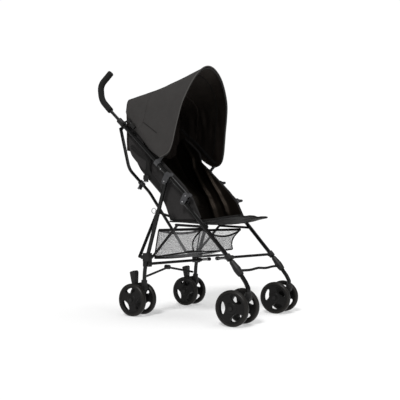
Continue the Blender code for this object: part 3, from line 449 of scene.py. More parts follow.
@dataclass
class Finishes:
    """Every material of the stroller, made once."""

    paint: bpy.types.Material = field(default_factory=Paint().make)
    dark: bpy.types.Material = field(default_factory=Moulded(
        "charcoal_plastic", (0.0075, 0.0073, 0.0072), (0.0170, 0.0164, 0.0160)).make)
    grey: bpy.types.Material = field(default_factory=Moulded(
        "grey_plastic", (0.026, 0.026, 0.028), (0.048, 0.048, 0.051), rough=0.30, gloss=0.5).make)
    wheel: bpy.types.Material = field(default_factory=Moulded(
        "wheel_plastic", (0.0045, 0.0043, 0.0042), (0.0090, 0.0086, 0.0083), rough=0.44,
        gloss=0.15).make)
    tyre: bpy.types.Material = field(default_factory=Moulded(
        "tyre_plastic", (0.0060, 0.0054, 0.0049), (0.0130, 0.0115, 0.0100), rough=0.42,
        grain=1500.0, gloss=0.20).make)
    foam: bpy.types.Material = field(default_factory=Foam().make)
    hood: bpy.types.Material = field(default_factory=Woven(
        "hood_cloth", (0.0290, 0.0274, 0.0266), (0.0450, 0.0426, 0.0412), crumple=0.08,
        gloss=0.10).make)
    lining: bpy.types.Material = field(default_factory=Woven(
        "hood_lining", (0.0040, 0.0032, 0.0029), (0.0135, 0.0108, 0.0094), crumple=0.25, rough=0.55,
        gloss=0.20, glint=(1.0, 0.88, 0.78)).make)
    facing: bpy.types.Material = field(default_factory=Woven(
        "hood_facing", (0.0040, 0.0031, 0.0027), (0.0130, 0.0102, 0.0088), crumple=0.25, rough=0.50,
        gloss=0.22, glint=(1.0, 0.86, 0.74)).make)
    seat: bpy.types.Material = field(default_factory=Woven(
        "seat_cloth", (0.0004, 0.0003, 0.0002), (0.0018, 0.0014, 0.0011), rough=0.42, crumple=0.08,
        gloss=0.17, glint=(1.0, 0.80, 0.64)).make)
    panel: bpy.types.Material = field(default_factory=Woven(
        "seat_side_cloth", (0.0170, 0.0160, 0.0160), (0.0270, 0.0255, 0.0255), rough=0.80).make)
    flap: bpy.types.Material = field(default_factory=Woven(
        "seat_flap_cloth", (0.0018, 0.0016, 0.0014), (0.0052, 0.0046, 0.0042), rough=0.62,
        crumple=0.5, gloss=0.07).make)
    binding: bpy.types.Material = field(default_factory=Woven(
        "binding_tape", (0.0048, 0.0046, 0.0044), (0.0120, 0.0115, 0.0110),
        threads=(300.0, 20.0)).make)
    piping: bpy.types.Material = field(default_factory=Woven(
        "hood_piping", (0.0500, 0.0475, 0.0450), (0.0860, 0.0820, 0.0780),
        threads=(400.0, 10.0)).make)
    net: bpy.types.Material = field(default_factory=Net().make)
    webbing: bpy.types.Material = field(default_factory=Webbing().make)
    steel: bpy.types.Material = field(default_factory=Steel().make)


# ---------------------------------------------------------------- shapes


def catmull(points: Sequence[Vector], at: float) -> Vector:
    """Point on a smooth curve through points.

    Args:
        points: the points, in order.
        at: place from 0 at the first point to 1 at the last.

    Returns:
        The point.
    """
    place = min(max(at, 0.0), 1.0) * (len(points) - 1)
    i = min(int(place), len(points) - 2)
    t = place - i
    a = points[i - 1] if i else points[0] * 2 - points[1]
    b, c = points[i], points[i + 1]
    d = points[i + 2] if i + 2 < len(points) else points[-1] * 2 - points[-2]
    return ((b * 2) + (c - a) * t + (a * 2 - b * 5 + c * 4 - d) * t ** 2
            + (b * 3 - a - c * 3 + d) * t ** 3) / 2


def smooth_path(points: Sequence[Point], count: int) -> List[Vector]:
    """Many points on a smooth curve through a few."""
    chain = [Vector(p) for p in points]
    return [catmull(chain, k / (count - 1)) for k in range(count)]


def shares(count: int, first: float = 0.0, last: float = 1.0) -> List[float]:
    """Evenly spaced values from the first to the last, over a count of steps."""
    return [first + (last - first) * k / count for k in range(count + 1)]


def rounded(start: Vector, corner: Vector, end: Vector, at: float) -> Vector:
    """Point of a curve that rounds a corner, at a share from its start to its end."""
    return start * (1 - at) ** 2 + corner * 2 * at * (1 - at) + end * at ** 2


def line_at(line: Sequence[Pair], at: float) -> Pair:
    """Side-view point at a share of a polyline's length.

    Args:
        line: (y, z) points in order.
        at: share of the length, from 0 to 1.

    Returns:
        The point's y and z.
    """
    spans = [math.dist(a, b) for a, b in zip(line, line[1:])]
    goal = at * sum(spans)
    for a, b, span in zip(line, line[1:], spans):
        if goal <= span + 1e-9:
            t = goal / span
            return (a[0] + (b[0] - a[0]) * t, a[1] + (b[1] - a[1]) * t)
        goal -= span
    return line[-1]


def ripple(point: Vector, scale: float, seed: float) -> float:
    """Smooth noise from -1 to 1 at a point."""
    return noise.noise(point * scale + Vector((seed, seed * 0.7, seed * 1.3)))


@dataclass
class ControlNet:
    """Grid of points with a smooth surface through it."""

    rows: List[List[Vector]]

    def at(self, u: float, v: float) -> Vector:
        """Point of the surface.

        Args:
            u: share across, along the rows.
            v: share down, from row to row.

        Returns:
            The point.
        """
        place = min(max(v, 0.0), 1.0) * (len(self.rows) - 1)
        i = min(int(place), len(self.rows) - 2)
        low = max(i - 1, 0)
        picked = [catmull(row, u) for row in self.rows[low:i + 3]]
        first = i - low
        if len(picked) == 1:
            return picked[0]
        share = (first + place - i) / (len(picked) - 1)
        return catmull(picked, share)


class Form:
    """Mesh being shaped with bmesh operators."""

    def __init__(self) -> None:
        """Start an empty mesh with a UV map."""
        self.bm = bmesh.new()
        self.uv = self.bm.loops.layers.uv.new("UVMap")

    def sheet(self, surface: Surface, columns: int, rows: int,
              slot: Optional[Callable[[float, float], int]] = None) -> "Form":
        """Grid that is laid on a surface.

        Args:
            surface: gives the point at shares (u, v).
            columns: faces across.
            rows: faces down.
            slot: gives the material index of a face at shares (u, v).

        Returns:
            The form itself.
        """
        made = bmesh.ops.create_grid(self.bm, x_segments=columns, y_segments=rows, size=0.5,
                                     calc_uvs=True)
        verts = set(made["verts"])
        places = {v: (v.co.x + 0.5, v.co.y + 0.5) for v in verts}
        if slot is not None:
            for face in {f for v in verts for f in v.link_faces}:
                spots = [places[v] for v in face.verts]
                face.material_index = slot(sum(p[0] for p in spots) / len(spots),
                                           sum(p[1] for p in spots) / len(spots))
        for v in verts:
            v.co = surface(*places[v])
        return self

    def sweep(self, path: Sequence[Vector], half: Pair, segments: int, up: Point,
              swell: Optional[Callable[[float], float]] = None) -> "Form":
        """Section that is extruded along a path.

        Args:
            path: middle line.
            half: half sizes of the section, along and across the path's normal.
            segments: sides of the section; 4 gives a flat strap.
            up: direction that the section's first half size keeps near.
            swell: gives a size factor at a share of the path.

        Returns:
            The form itself.
        """
        frames = self.frames(path, Vector(up))
        turn = Matrix.Rotation(math.pi / 4, 4, "Z") if segments == 4 else Matrix.Identity(4)
        reach = math.sqrt(2) if segments == 4 else 1.0
        ring = bmesh.ops.create_circle(self.bm, cap_ends=False, segments=segments,
                                       radius=reach)["verts"]
        last = Matrix.Identity(4)
        bmesh.ops.transform(self.bm, matrix=turn, verts=ring)
        edges = list({e for v in ring for e in v.link_edges})
        first_edges = edges
        for k, frame in enumerate(frames):
            size = swell(k / (len(frames) - 1)) if swell else 1.0
            goal = frame @ Matrix.Diagonal((half[0] * size, half[1] * size, 1.0, 1.0))
            if k:
                geom = bmesh.ops.extrude_edge_only(self.bm, edges=edges)["geom"]
                ring = [g for g in geom if isinstance(g, bmesh.types.BMVert)]
                edges = [g for g in geom if isinstance(g, bmesh.types.BMEdge)]
            bmesh.ops.transform(self.bm, matrix=goal @ last.inverted(), verts=ring)
            last = goal
        for rim in (first_edges, edges):
            bmesh.ops.contextual_create(self.bm, geom=rim)
        return self

    @staticmethod
    def frames(path: Sequence[Vector], up: Vector) -> List[Matrix]:
        """Frame at each point of a path, its Z along the path and its X near up.

        Args:
            path: the points, in order.
            up: direction that X keeps near.

        Returns:
            One matrix for each point.
        """
        frames = []
        for k, point in enumerate(path):
            way = (path[min(k + 1, len(path) - 1)] - path[max(k - 1, 0)]).normalized()
            side = way.cross(up)
            if side.length < 0.05:
                side = way.cross(Vector((0.3, 1.0, 0.1)))
            side.normalize()
            lift = side.cross(way)
            frame = Matrix((lift, side, way)).transposed().to_4x4()
            frame.translation = point
            frames.append(frame)
        return frames

    def lathe(self, profile: Sequence[Pair], steps: int, origin: Vector,
              axis: Vector, slots: Optional[Sequence[int]] = None) -> "Form":
        """Profile of (radius, height) points that is spun about an axis.

        Args:
            profile: points in order; the ends close on the axis or on each other.
            steps: segments of the turn.
            origin: place of height 0.
            axis: direction of the height.
            slots: material index of each span of the profile.

        Returns:
            The form itself.
        """
        verts = [self.bm.verts.new((r, 0.0, h)) for r, h in profile]
        edges = [self.bm.edges.new(pair) for pair in zip(verts, verts[1:])]
        before = set(self.bm.faces)
        bmesh.ops.spin(self.bm, geom=verts + edges, cent=(0, 0, 0), axis=(0, 0, 1),
                       dvec=(0, 0, 0), angle=2 * math.pi, steps=steps, use_merge=True)
        faces = [f for f in self.bm.faces if f not in before]
        verts = list({v for f in faces for v in f.verts})
        if slots:
            spans = list(zip(profile, profile[1:]))
            for face in faces:
                radii = [math.hypot(v.co.x, v.co.y) for v in face.verts]
                heights = [v.co.z for v in face.verts]
                spot = (sum((min(radii), max(radii))) / 2, sum((min(heights), max(heights))) / 2)
                best = min(range(len(spans)), key=lambda i, at=spot: math.dist(
                    at, [sum(ends) / 2 for ends in zip(*spans[i])]))
                face.material_index = slots[best]
        turn = Vector((0, 0, 1)).rotation_difference(axis.normalized()).to_matrix().to_4x4()
        bmesh.ops.transform(self.bm, matrix=Matrix.Translation(origin) @ turn, verts=verts)
        bmesh.ops.remove_doubles(self.bm, verts=verts, dist=1e-6)
        return self

    def disc(self, centre: Vector, axis: Vector, radius: float, height: float,
             steps: int = 20) -> "Form":
        """Low domed head, such as a rivet's.

        Args:
            centre: middle of its flat foot.
            axis: direction in which it rises.
            radius: radius of the foot.
            height: height of the dome.
            steps: segments of the turn.

        Returns:
            The form itself.
        """
        dome = [(radius * math.cos(a), height * (0.35 + 0.65 * math.sin(a)))
                for a in (math.pi / 2 * k / 4 for k in range(5))]
        dome[-1] = (0.0, height)
        return self.lathe([(0.0, 0.0), (radius, 0.0)] + dome, steps, centre, axis)

    def block(self, size: Point, centre: Vector, turn: Matrix, round_by: float) -> "Form":
        """Box with bevelled edges.

        Args:
            size: its lengths along its own X, Y and Z.
            centre: its middle.
            turn: its rotation.
            round_by: width of the bevels.

        Returns:
            The form itself.
        """
        made = bmesh.ops.create_cube(self.bm, size=1.0)["verts"]
        place = Matrix.Translation(centre) @ turn.to_4x4()
        bmesh.ops.transform(self.bm, matrix=place @ Matrix.Diagonal((*size, 1.0)), verts=made)
        edges = list({e for v in made for e in v.link_edges})
        bmesh.ops.bevel(self.bm, geom=edges, offset=round_by, segments=3, profile=0.5,
                        affect="EDGES", material=-1, clamp_overlap=True)
        return self

    def done(self, name: str, materials: Sequence[bpy.types.Material], wall: float = 0.0,
             recalculate: bool = True, sharp: float = 40.0) -> bpy.types.Object:
        """Make the finished object.

        Args:
            name: the piece's name.
            materials: its material slots.
            wall: thickness to give an open sheet, half to each side, else 0.
            recalculate: whether faces are turned outwards.
            sharp: angle in degrees past which an edge is shaded sharp.

        Returns:
            The object, at the origin.
        """
        bmesh.ops.remove_doubles(self.bm, verts=self.bm.verts, dist=1e-6)
        if recalculate:
            bmesh.ops.recalc_face_normals(self.bm, faces=self.bm.faces)
        data = bpy.data.meshes.new(name)
        self.bm.to_mesh(data)
        self.bm.free()
        data.shade_smooth()
        data.set_sharp_from_angle(angle=math.radians(sharp))
        for material in materials:
            data.materials.append(material)
        piece = bpy.data.objects.new(name, data)
        bpy.context.scene.collection.objects.link(piece)
        if wall:
            shell = piece.modifiers.new("wall", "SOLIDIFY")
            shell.thickness = wall
            shell.offset = 0.0
            shell.use_even_offset = False
            shell.material_offset = 1 if len(materials) > 1 else 0
        return piece


def baked(piece: bpy.types.Object) -> bpy.types.Object:
    """Apply a piece's modifiers to its mesh."""
    graph = bpy.context.evaluated_depsgraph_get()
    data = bpy.data.meshes.new_from_object(piece.evaluated_get(graph))
    piece.modifiers.clear()
    old = piece.data
    piece.data = data
    data.name = piece.name
    bpy.data.meshes.remove(old)
    return piece


# ---------------------------------------------------------------- sub-assemblies


@dataclass
class Assembly:
    """Base of the sub-assemblies: keeps the finishes and attaches pieces to their bodies."""

    finishes: Finishes

    def settle(self, piece: bpy.types.Object, body: str, slot: Slot,
               replaces: Sequence[str] = (), narrows: float = 0.0) -> bpy.types.Object:
        """Hand a finished piece to the frame.

        Args:
            piece: the finished object.
            body: the body that carries it.
            slot: the record's material slot; not used.
            replaces: CAD nodes that it stands for.
            narrows: half width of the piece, else 0; when it is not 0 the piece gets its own copy
                of its mesh.

        Returns:
            The piece.
        """
        if piece.modifiers:
            baked(piece)
        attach(piece, body)
        if replaces:
            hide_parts(*replaces)
        if narrows:
            -narrows
            1.0 - FOLD_TRAVEL / (2 * narrows)
            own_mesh(piece)
        LOG.info("%s rides on %s", piece.name, body)
        return piece

    def strip(self, name: str, path: Sequence[Vector], half: Pair, sides: int, up: Point,
              finish: bpy.types.Material, body: str, slot: Slot,
              **frame: object) -> bpy.types.Object:
        """Make a piece of one section along a path and hand it to the frame.

        Args:
            name: the piece's name.
            path: its middle line.
            half: half sizes of its section.
            sides: sides of its section.
            up: direction that the section's first half size keeps near.
            finish: its material.
            body: the body that carries it.
            slot: the record's material slot.
            frame: what it replaces and its narrows value, as settle takes them.

        Returns:
            The piece.
        """
        form = Form().sweep(path, half, sides, up)
        return self.settle(form.done(name, (finish,)), body, slot, **frame)

    def cloth(self, name: str, surface: Surface, grid: Tuple[int, int],
              faces: Sequence[bpy.types.Material], wall: float, body: str, slot: Slot,
              patch: Optional[Callable[[float, float], int]] = None,
              **frame: object) -> bpy.types.Object:
        """Make a sheet of cloth on a surface and hand it to the frame.

        Args:
            name: the piece's name.
            surface: gives its point at shares (u, v).
            grid: faces across and down.
            faces: its material slots.
            wall: its thickness.
            body: the body that carries it.
            slot: the record's material slot.
            patch: gives the material index of a face at shares (u, v).
            frame: what it replaces and its narrows value, as settle takes them.

        Returns:
            The piece.
        """
        form = Form().sheet(surface, *grid, patch)
        piece = form.done(name, faces, wall=wall, recalculate=False)
        return self.settle(piece, body, slot, **frame)


@dataclass
class Wheels(Assembly):
    """Eight moulded wheels with three openings each."""

    radius: float = 0.0675
    width: float = 0.0215
    rim: float = 0.0560
    hub: float = 0.0190
    bore: float = 0.0043
    axle_z: float = 0.0675
    front_y: float = -0.3095
    rear_y: float = 0.1582
    front_x: Pair = (0.2400, 0.1510)
    rear_x: Pair = (0.2365, 0.1655)
    opening_outer: float = 0.0490
    opening_inner: float = 0.0255
    opening_waist: float = 0.0395
    opening_corner: float = 0.0042
    cutter_reach: float = 0.03
    spin: Dict[str, float] = field(default_factory=lambda: {
        "front_r_outer": 30.0, "front_r_inner": 46.0, "front_l_outer": 20.0, "front_l_inner": 47.0,
        "rear_r_outer": -10.0, "rear_r_inner": 22.0, "rear_l_outer": 34.0, "rear_l_inner": 5.0})

    def blank(self) -> bpy.types.Object:
        """Return one wheel about the X axis, its outer face towards -X."""
        r, h, rim, hub = self.radius, self.width / 2, self.rim, self.hub
        half = [(rim, h - 0.0010), (rim + 0.0008, h), (rim + 0.0055, h + 0.0003),
                (r - 0.0028, h - 0.0016), (r - 0.0006, h - 0.0046), (r, h - 0.0080)]
        tyre = half + [(radius, -z) for radius, z in reversed(half)]
        face = [(rim, h - 0.0010), (rim - 0.0006, h - 0.0022), (rim - 0.0030, h - 0.0024),
                (rim - 0.0042, h - 0.0036), (hub + 0.0030, h - 0.0036), (hub + 0.0014, h - 0.0014),
                (hub, h - 0.0006), (0.0092, h - 0.0006), (0.0084, h - 0.0016),
                (self.bore, h - 0.0016)]
        loop = self.tidy(list(reversed(face)) + tyre + [(radius, -z) for radius, z in face])
        slots = [1 if min(a[0], b[0]) >= rim - 1e-6 else 0 for a, b in zip(loop, loop[1:])]
        form = Form()
        form.lathe(loop, 72, Vector(), Vector((-1, 0, 0)), slots)
        wheel = form.done("wheel_blank", (self.finishes.wheel, self.finishes.tyre), sharp=32.0)
        for k in range(3):
            self.pierce(wheel, math.pi / 2 + k * 2 * math.pi / 3)
        return baked(wheel)

    @staticmethod
    def tidy(loop: List[Pair]) -> List[Pair]:
        """Close a profile on itself and drop repeated points.

        Args:
            loop: the profile's points, in order.

        Returns:
            The closed profile.
        """
        kept = [loop[0]]
        for point in loop[1:]:
            if math.dist(point, kept[-1]) > 1e-6:
                kept.append(point)
        if math.dist(kept[0], kept[-1]) > 1e-6:
            kept.append(kept[0])
        return kept

    def pierce(self, wheel: bpy.types.Object, middle: float) -> None:
        """Cut one rounded opening between two spokes.

        Args:
            wheel: the wheel to cut.
            middle: angle of the opening's middle, from +Y towards +Z.
        """
        bm = bmesh.new()
        spots = [(self.opening_outer, a) for a in (0.58, 0.38, 0.19, 0.0, -0.19, -0.38, -0.58)]
        spots += [(self.opening_waist, -0.62), (self.opening_inner, -0.24),
                  (self.opening_inner, 0.24), (self.opening_waist, 0.62)]
        verts = [bm.verts.new((-self.cutter_reach, r * math.cos(middle + a),
                               r * math.sin(middle + a))) for r, a in spots]
        bm.faces.new(verts)
        bends = [verts[i] for i in (0, 6, 7, 8, 9, 10)]
        bmesh.ops.bevel(bm, geom=bends, offset=self.opening_corner, segments=4, profile=0.5,
                        affect="VERTICES", material=-1, clamp_overlap=True)
        top = bmesh.ops.extrude_face_region(bm, geom=list(bm.faces))["geom"]
        bmesh.ops.translate(bm, vec=(2 * self.cutter_reach, 0, 0),
                            verts=[g for g in top if isinstance(g, bmesh.types.BMVert)])
        bmesh.ops.recalc_face_normals(bm, faces=bm.faces)
        data = bpy.data.meshes.new("opening")
        bm.to_mesh(data)
        bm.free()
        tool = bpy.data.objects.new("opening", data)
        bpy.context.scene.collection.objects.link(tool)
        cut = wheel.modifiers.new("opening", "BOOLEAN")
        cut.operation = "DIFFERENCE"
        cut.solver = "EXACT"
        cut.object = tool
        baked(wheel)
        bpy.data.objects.remove(tool, do_unlink=True)
        bpy.data.meshes.remove(data)

    def build(self) -> None:
        """Place the eight wheels."""
        blank = self.blank()
        for side, tag in SIDES:
            for end, y, xs in (("front", self.front_y, self.front_x),
                               ("rear", self.rear_y, self.rear_x)):
                for x, where in zip(xs, ("outer", "inner")):
                    name = "%s_wheel_%s_%s" % (end, tag, where)
                    data = blank.data.copy()
                    spin = math.radians(self.spin["%s_%s_%s" % (end, tag, where)])
                    turn = Matrix.Rotation(spin, 4, "X")
                    outwards = (side < 0) == (where == "outer")
                    face = Matrix.Rotation(0.0 if outwards else math.pi, 4, "Z")
                    data.transform(Matrix.Translation((side * x, y, self.axle_z)) @ turn @ face)
                    piece = bpy.data.objects.new("moulded_" + name, data)
                    bpy.context.scene.collection.objects.link(piece)
                    self.settle(piece, name, Slot.WHEEL, (name,))
        old = blank.data
        bpy.data.objects.remove(blank, do_unlink=True)
        bpy.data.meshes.remove(old)


@dataclass
class Grips(Assembly):
    """Bent foam sleeves on the handles."""

    radius: float = 0.0138
    low: Pair = (0.3065, 0.8788)
    bend_low: Pair = (0.3585, 0.9330)
    bend_high: Pair = (0.3665, 0.9990)
    high: Pair = (0.3050, 1.0470)
    bend_reach: float = 0.026

    def path(self, side: int) -> List[Vector]:
        """Middle line of a grip, from its low end to its top.

        Args:
            side: -1 for the right grip, 1 for the left.

        Returns:
            The line's points.
        """
        bends = [Vector((side * PUSH_X, *p))
                 for p in (self.low, self.bend_low, self.bend_high, self.high)]
        chain: List[Vector] = [bends[0]]
        for before, at, after in zip(bends, bends[1:], bends[2:]):
            a = at + (before - at).normalized() * self.bend_reach
            b = at + (after - at).normalized() * self.bend_reach
            chain += [rounded(a, at, b, t) for t in shares(8)]
        chain.append(bends[3])
        return chain

    def build(self) -> None:
        """Make both sleeves."""
        for side, tag in SIDES:
            path = self.path(side)
            ends = [path[0], path[0].lerp(path[1], 0.04)] + path[1:-1]
            ends += [path[-2].lerp(path[-1], 0.86), path[-2].lerp(path[-1], 0.97), path[-1]]
            last = len(ends) - 1

            def swell(at: float, last: int = last) -> float:
                """Size of the sleeve: rounded at its ends."""
                k = round(at * last)
                return {0: 0.90, 1: 1.0, last - 1: 0.96, last: 0.80}.get(k, 1.0)

            form = Form().sweep(ends, (self.radius, self.radius), 24, (1.0, 0.0, 0.0), swell)
            piece = form.done("foam_grip_" + tag, (self.finishes.foam,), sharp=50.0)
            body = Body.RIGHT if side < 0 else Body.LEFT
            self.settle(piece, body.value, Slot.FOAM, ("handle_grip_" + tag,))


@dataclass
class Hood(Assembly):
    """Hood: outer cloth with lining, piping, rear panel and front bow."""

    rim: Tuple[Point, ...] = (
        (0.2205, 0.0295, 0.654), (0.2180, -0.009, 0.672), (0.2130, -0.025, 0.710),
        (0.2070, -0.034, 0.761), (0.1990, -0.043, 0.812), (0.1890, -0.055, 0.871),
        (0.1680, -0.069, 0.928), (0.1370, -0.077, 0.978), (0.0940, -0.083, 1.024),
        (0.0480, -0.0845, 1.052))
    apex: Point = (0.0, -0.085, 1.062)
    pivot: Pair = (0.0295, 0.654)
    edge: Tuple[Pair, ...] = (
        (0.080, 0.704), (0.119, 0.757), (0.165, 0.800), (0.197, 0.829))
    edge_fades: Tuple[float, ...] = (1.0, 0.55, 0.2)
    rear_foot: Point = (0.2080, 0.2190, 0.8680)
    rear_top: Pair = (0.212, 0.921)
    corner: float = 0.030
    steps: Tuple[float, ...] = (
        0.0, 0.005, 0.010, 0.016, 0.022, 0.032, 0.044, 0.060, 0.105, 0.170)
    back_foot: Point = (0.196, 0.2185, 0.698)
    back_wave: float = 0.004
    back_crumple: float = 0.002
    hem: Tuple[float, ...] = (0.12, 0.7, 1.0, 1.0, 1.0, 0.2)
    hem_turn: Point = (0.009, 0.0150, 0.0155)
    facing: float = 0.20
    split: float = 0.62
    tuck: float = 0.02
    lap: float = 0.0004
    heart: Pair = (0.06, 0.80)
    slack: float = 0.0015
    dents: Tuple[Point, ...] = ((0.0022, 9.0, 3.1), (0.0010, 26.0, 8.4))
    far_from: float = 0.62
    far_over: float = 0.14
    far_folds: float = 0.0140
    bow_radius: float = 0.0030
    bow_foot_x: float = 0.2152
    half_width: float = 0.2210
    crown: float = 0.0035
    wall: float = 0.0016

    @staticmethod
    def across(half: Sequence[Vector], middle: Vector) -> List[Vector]:
        """Points from the right side over the middle to the left side."""
        right = [Vector((-p.x, p.y, p.z)) for p in half]
        return right + [middle.copy()] + [p.copy() for p in reversed(half)]

    def rear_points(self) -> List[Vector]:
        """Points of the rear bow that match the rim's, from the right foot to the left.

        Returns:
            The points.
        """
        foot = Vector(self.rear_foot)
        top = Vector((foot.x, *self.rear_top))
        middle = Vector((0.0, self.rear_top[0], self.rear_top[1] + 0.004))
        a = top + (foot - top).normalized() * self.corner
        b = top + (middle - top).normalized() * self.corner
        path = [foot] + [rounded(a, top, b, t) for t in shares(10)] + [middle]
        half = []
        for goal in self.steps:
            left = goal
            for p, q in zip(path, path[1:]):
                if left <= (q - p).length:
                    half.append(p.lerp(q, left / (q - p).length))
                    break
                left -= (q - p).length
        return self.across(half, middle)

    def net(self) -> ControlNet:
        """Control net from the front rim to the rear bow, with the turned-in hems.

        Returns:
            The net.
        """
        rim = self.across([Vector(p) for p in self.rim], Vector(self.apex))
        rear = self.rear_points()
        foot = Vector(self.rear_foot)
        edge = [self.pivot] + list(self.edge) + [(foot.y, foot.z)]
        rows = []
        for t, hem in zip(shares(len(self.hem) - 1), self.hem):
            row = [a.lerp(b, t) for a, b in zip(rim, rear)]
            at = line_at(edge, t)
            drop = Vector((0.0, at[0] - row[0].y, at[1] - row[0].z))
            for k, fade in enumerate(self.edge_fades):
                row[k] += drop * fade
                row[-1 - k] += drop * fade
            for k, p in enumerate(row):
                middle = max(0.0, 1 - (2 * k / (len(row) - 1) - 1) ** 4)
                p.z += self.crown * 4 * t * (1 - t) * middle
            turn = Vector(self.hem_turn) * hem
            row.insert(0, row[0] + Vector((turn.x, turn.y, -turn.z)))
            row.append(row[-1] + Vector((-turn.x, turn.y, -turn.z)))
            rows.append(row)
        return ControlNet(rows)

    def inwards(self, p: Vector) -> Vector:
        """Direction from a point of the hood to the middle of its hollow."""
        return Vector((-p.x, self.heart[0] - p.y, self.heart[1] - p.z)).normalized()

    def build(self) -> None:
        """Make the cloth, the rear panel, the piping and the bow."""
        net = self.net()

        def canopy(u: float, v: float) -> Vector:
            """Outer cloth with slight slack between the bows."""
            p = net.at(u, v)
            slack = math.sin(math.pi * v) * math.sin(math.pi * u) ** 0.5
            dent = sum(height * ripple(p, scale, seed) for height, scale, seed in self.dents)
            far = max(0.0, min(1.0, (u - self.far_from) / self.far_over))
            folds = ripple(Vector((p.x * 0.5, p.y * 2.6, p.z * 0.6)), 13.0, 5.7)
            dip = self.slack + dent + far * self.far_folds * folds
            return p + self.inwards(p) * (slack * dip)

        def fore(u: float, v: float) -> Vector:
            """Front cloth, from the rim to the split."""
            return canopy(u, v * self.split)

        def facing(_: float, v: float) -> int:
            """Material of the front cloth, whose rim has a facing inside."""
            return 2 if v * self.split < self.facing else 0

        first = self.split - self.tuck

        def under(u: float, v: float) -> Vector:
            """Rear cloth, whose front edge lies just under the front cloth."""
            share = first + v * (1.0 - first)
            fade = max(0.0, 1.0 - (share - first) / (2.5 * self.tuck))
            p = canopy(u, share)
            return p + self.inwards(p) * (self.lap * fade)

        faces = (self.finishes.hood, self.finishes.lining, self.finishes.hood, self.finishes.facing)
        front = self.cloth("hood_canopy_front", fore, (132, 31), faces, self.wall,
                           Body.HOOD_BOW.value, Slot.HOOD, facing, narrows=self.half_width)
        rear = self.cloth("hood_canopy_rear", under, (132, 21), faces, self.wall,
                          Body.RIGHT.value, Slot.HOOD, replaces=("hood_cloth",),
                          narrows=self.half_width)
        self.build_back()
        self.build_seams(net)
        rim = [net.at(u, 0.0) for u in shares(140)][6:-6]
        self.trim("hood_piping", rim, (0.0021, 0.0026), 8, finish=self.finishes.piping)
        self.build_bow()

    def trim(self, name: str, path: Sequence[Vector], half: Pair, sides: int,
             up: Point = (0.0, 1.0, 0.0), finish: Optional[bpy.types.Material] = None,
             body: Body = Body.HOOD_BOW) -> None:
        """Make one seam, tape or piping of the hood.

        Args:
            name: the piece's name.
            path: its middle line.
            half: half sizes of its section.
            sides: sides of its section.
            up: direction that the section's first half size keeps near.
            finish: its material, else the binding tape's.
            body: the body that carries it.
        """
        self.strip(name, path, half, sides, up, finish or self.finishes.binding, body.value,
                   Slot.HOOD, narrows=self.half_width)

    def build_seams(self, net: ControlNet) -> None:
        """Short sewn tucks outside and hem tapes inside the side edges.

        Args:
            net: the hood's control net.
        """
        for tag, u, hem in (("r", 0.125, 0.070), ("l", 0.875, 0.930)):
            outwards = Vector((-1.0 if u < 0.5 else 1.0, 0.0, 0.0))
            path = [net.at(u, v) + outwards * 0.0012 for v in shares(40, 0.31, 0.60)]
            self.trim("hood_seam_" + tag, path, (0.0009, 0.0009), 6)
            for part, first, last, body in (("front", 0.05, self.split, Body.HOOD_BOW),
                                            ("rear", self.split, 0.95, Body.RIGHT)):
                path = [net.at(hem, v) - outwards * 0.0042 for v in shares(24, first, last)]
                self.trim("hood_hem_tape_%s_%s" % (part, tag), path, (0.0060, 0.0009), 8,
                          (0.0, 0.6, 0.8), body=body)
        middle = Vector((0.0, 0.08, 0.80))
        path = [net.at(u, self.facing) for u in shares(100, 0.08, 0.92)]
        path = [p + (middle - p).normalized() * 0.0030 for p in path]
        self.trim("hood_facing_seam", path, (0.0022, 0.0012), 6)

    def build_back(self) -> None:
        """Rear panel that hangs from the rear bow behind the head."""
        rear = self.rear_points()[3:-3]
        low = Vector(self.back_foot)

        def panel(u: float, v: float) -> Vector:
            """Panel point with soft vertical folds that grow downwards."""
            top = catmull(rear, u)
            p = top.lerp(Vector((top.x * low.x / self.rear_foot[0], low.y, low.z)), v)
            wave = self.back_wave * v * math.sin(9.0 * u * math.pi + 1.0)
            return p + Vector((0.0, wave + self.back_crumple * v * ripple(p, 20.0, 5.0), 0.0))

        piece = self.cloth("hood_back_panel", panel, (60, 24), (self.finishes.lining,) * 2,
                           self.wall, Body.RIGHT.value, Slot.HOOD, narrows=self.half_width)

    def build_bow(self) -> None:
        """Front bow inside the rim."""
        rim = self.across([Vector(p) for p in self.rim], Vector(self.apex))
        bow = []
        for p in rim:
            inward = Vector((-p.x, 0, self.pivot[0] - p.z + 0.15)).normalized()
            crown = 0.0018 * max(0.0, p.z - self.rear_top[1]) / (self.apex[2] - self.rear_top[1])
            bow.append(p + inward * (0.0056 + crown) + Vector((0, 0.004, 0)))
        bow[0] = Vector((-self.bow_foot_x, *self.pivot))
        bow[-1] = Vector((self.bow_foot_x, *self.pivot))
        path = [catmull(bow, t) for t in shares(120)]
        self.strip("hood_bow_rod", path, (self.bow_radius,) * 2, 12, (0.0, 1.0, 0.0),
                   self.finishes.dark, Body.HOOD_BOW.value, Slot.DARK,
                   replaces=("hood_front_bow",), narrows=self.half_width)


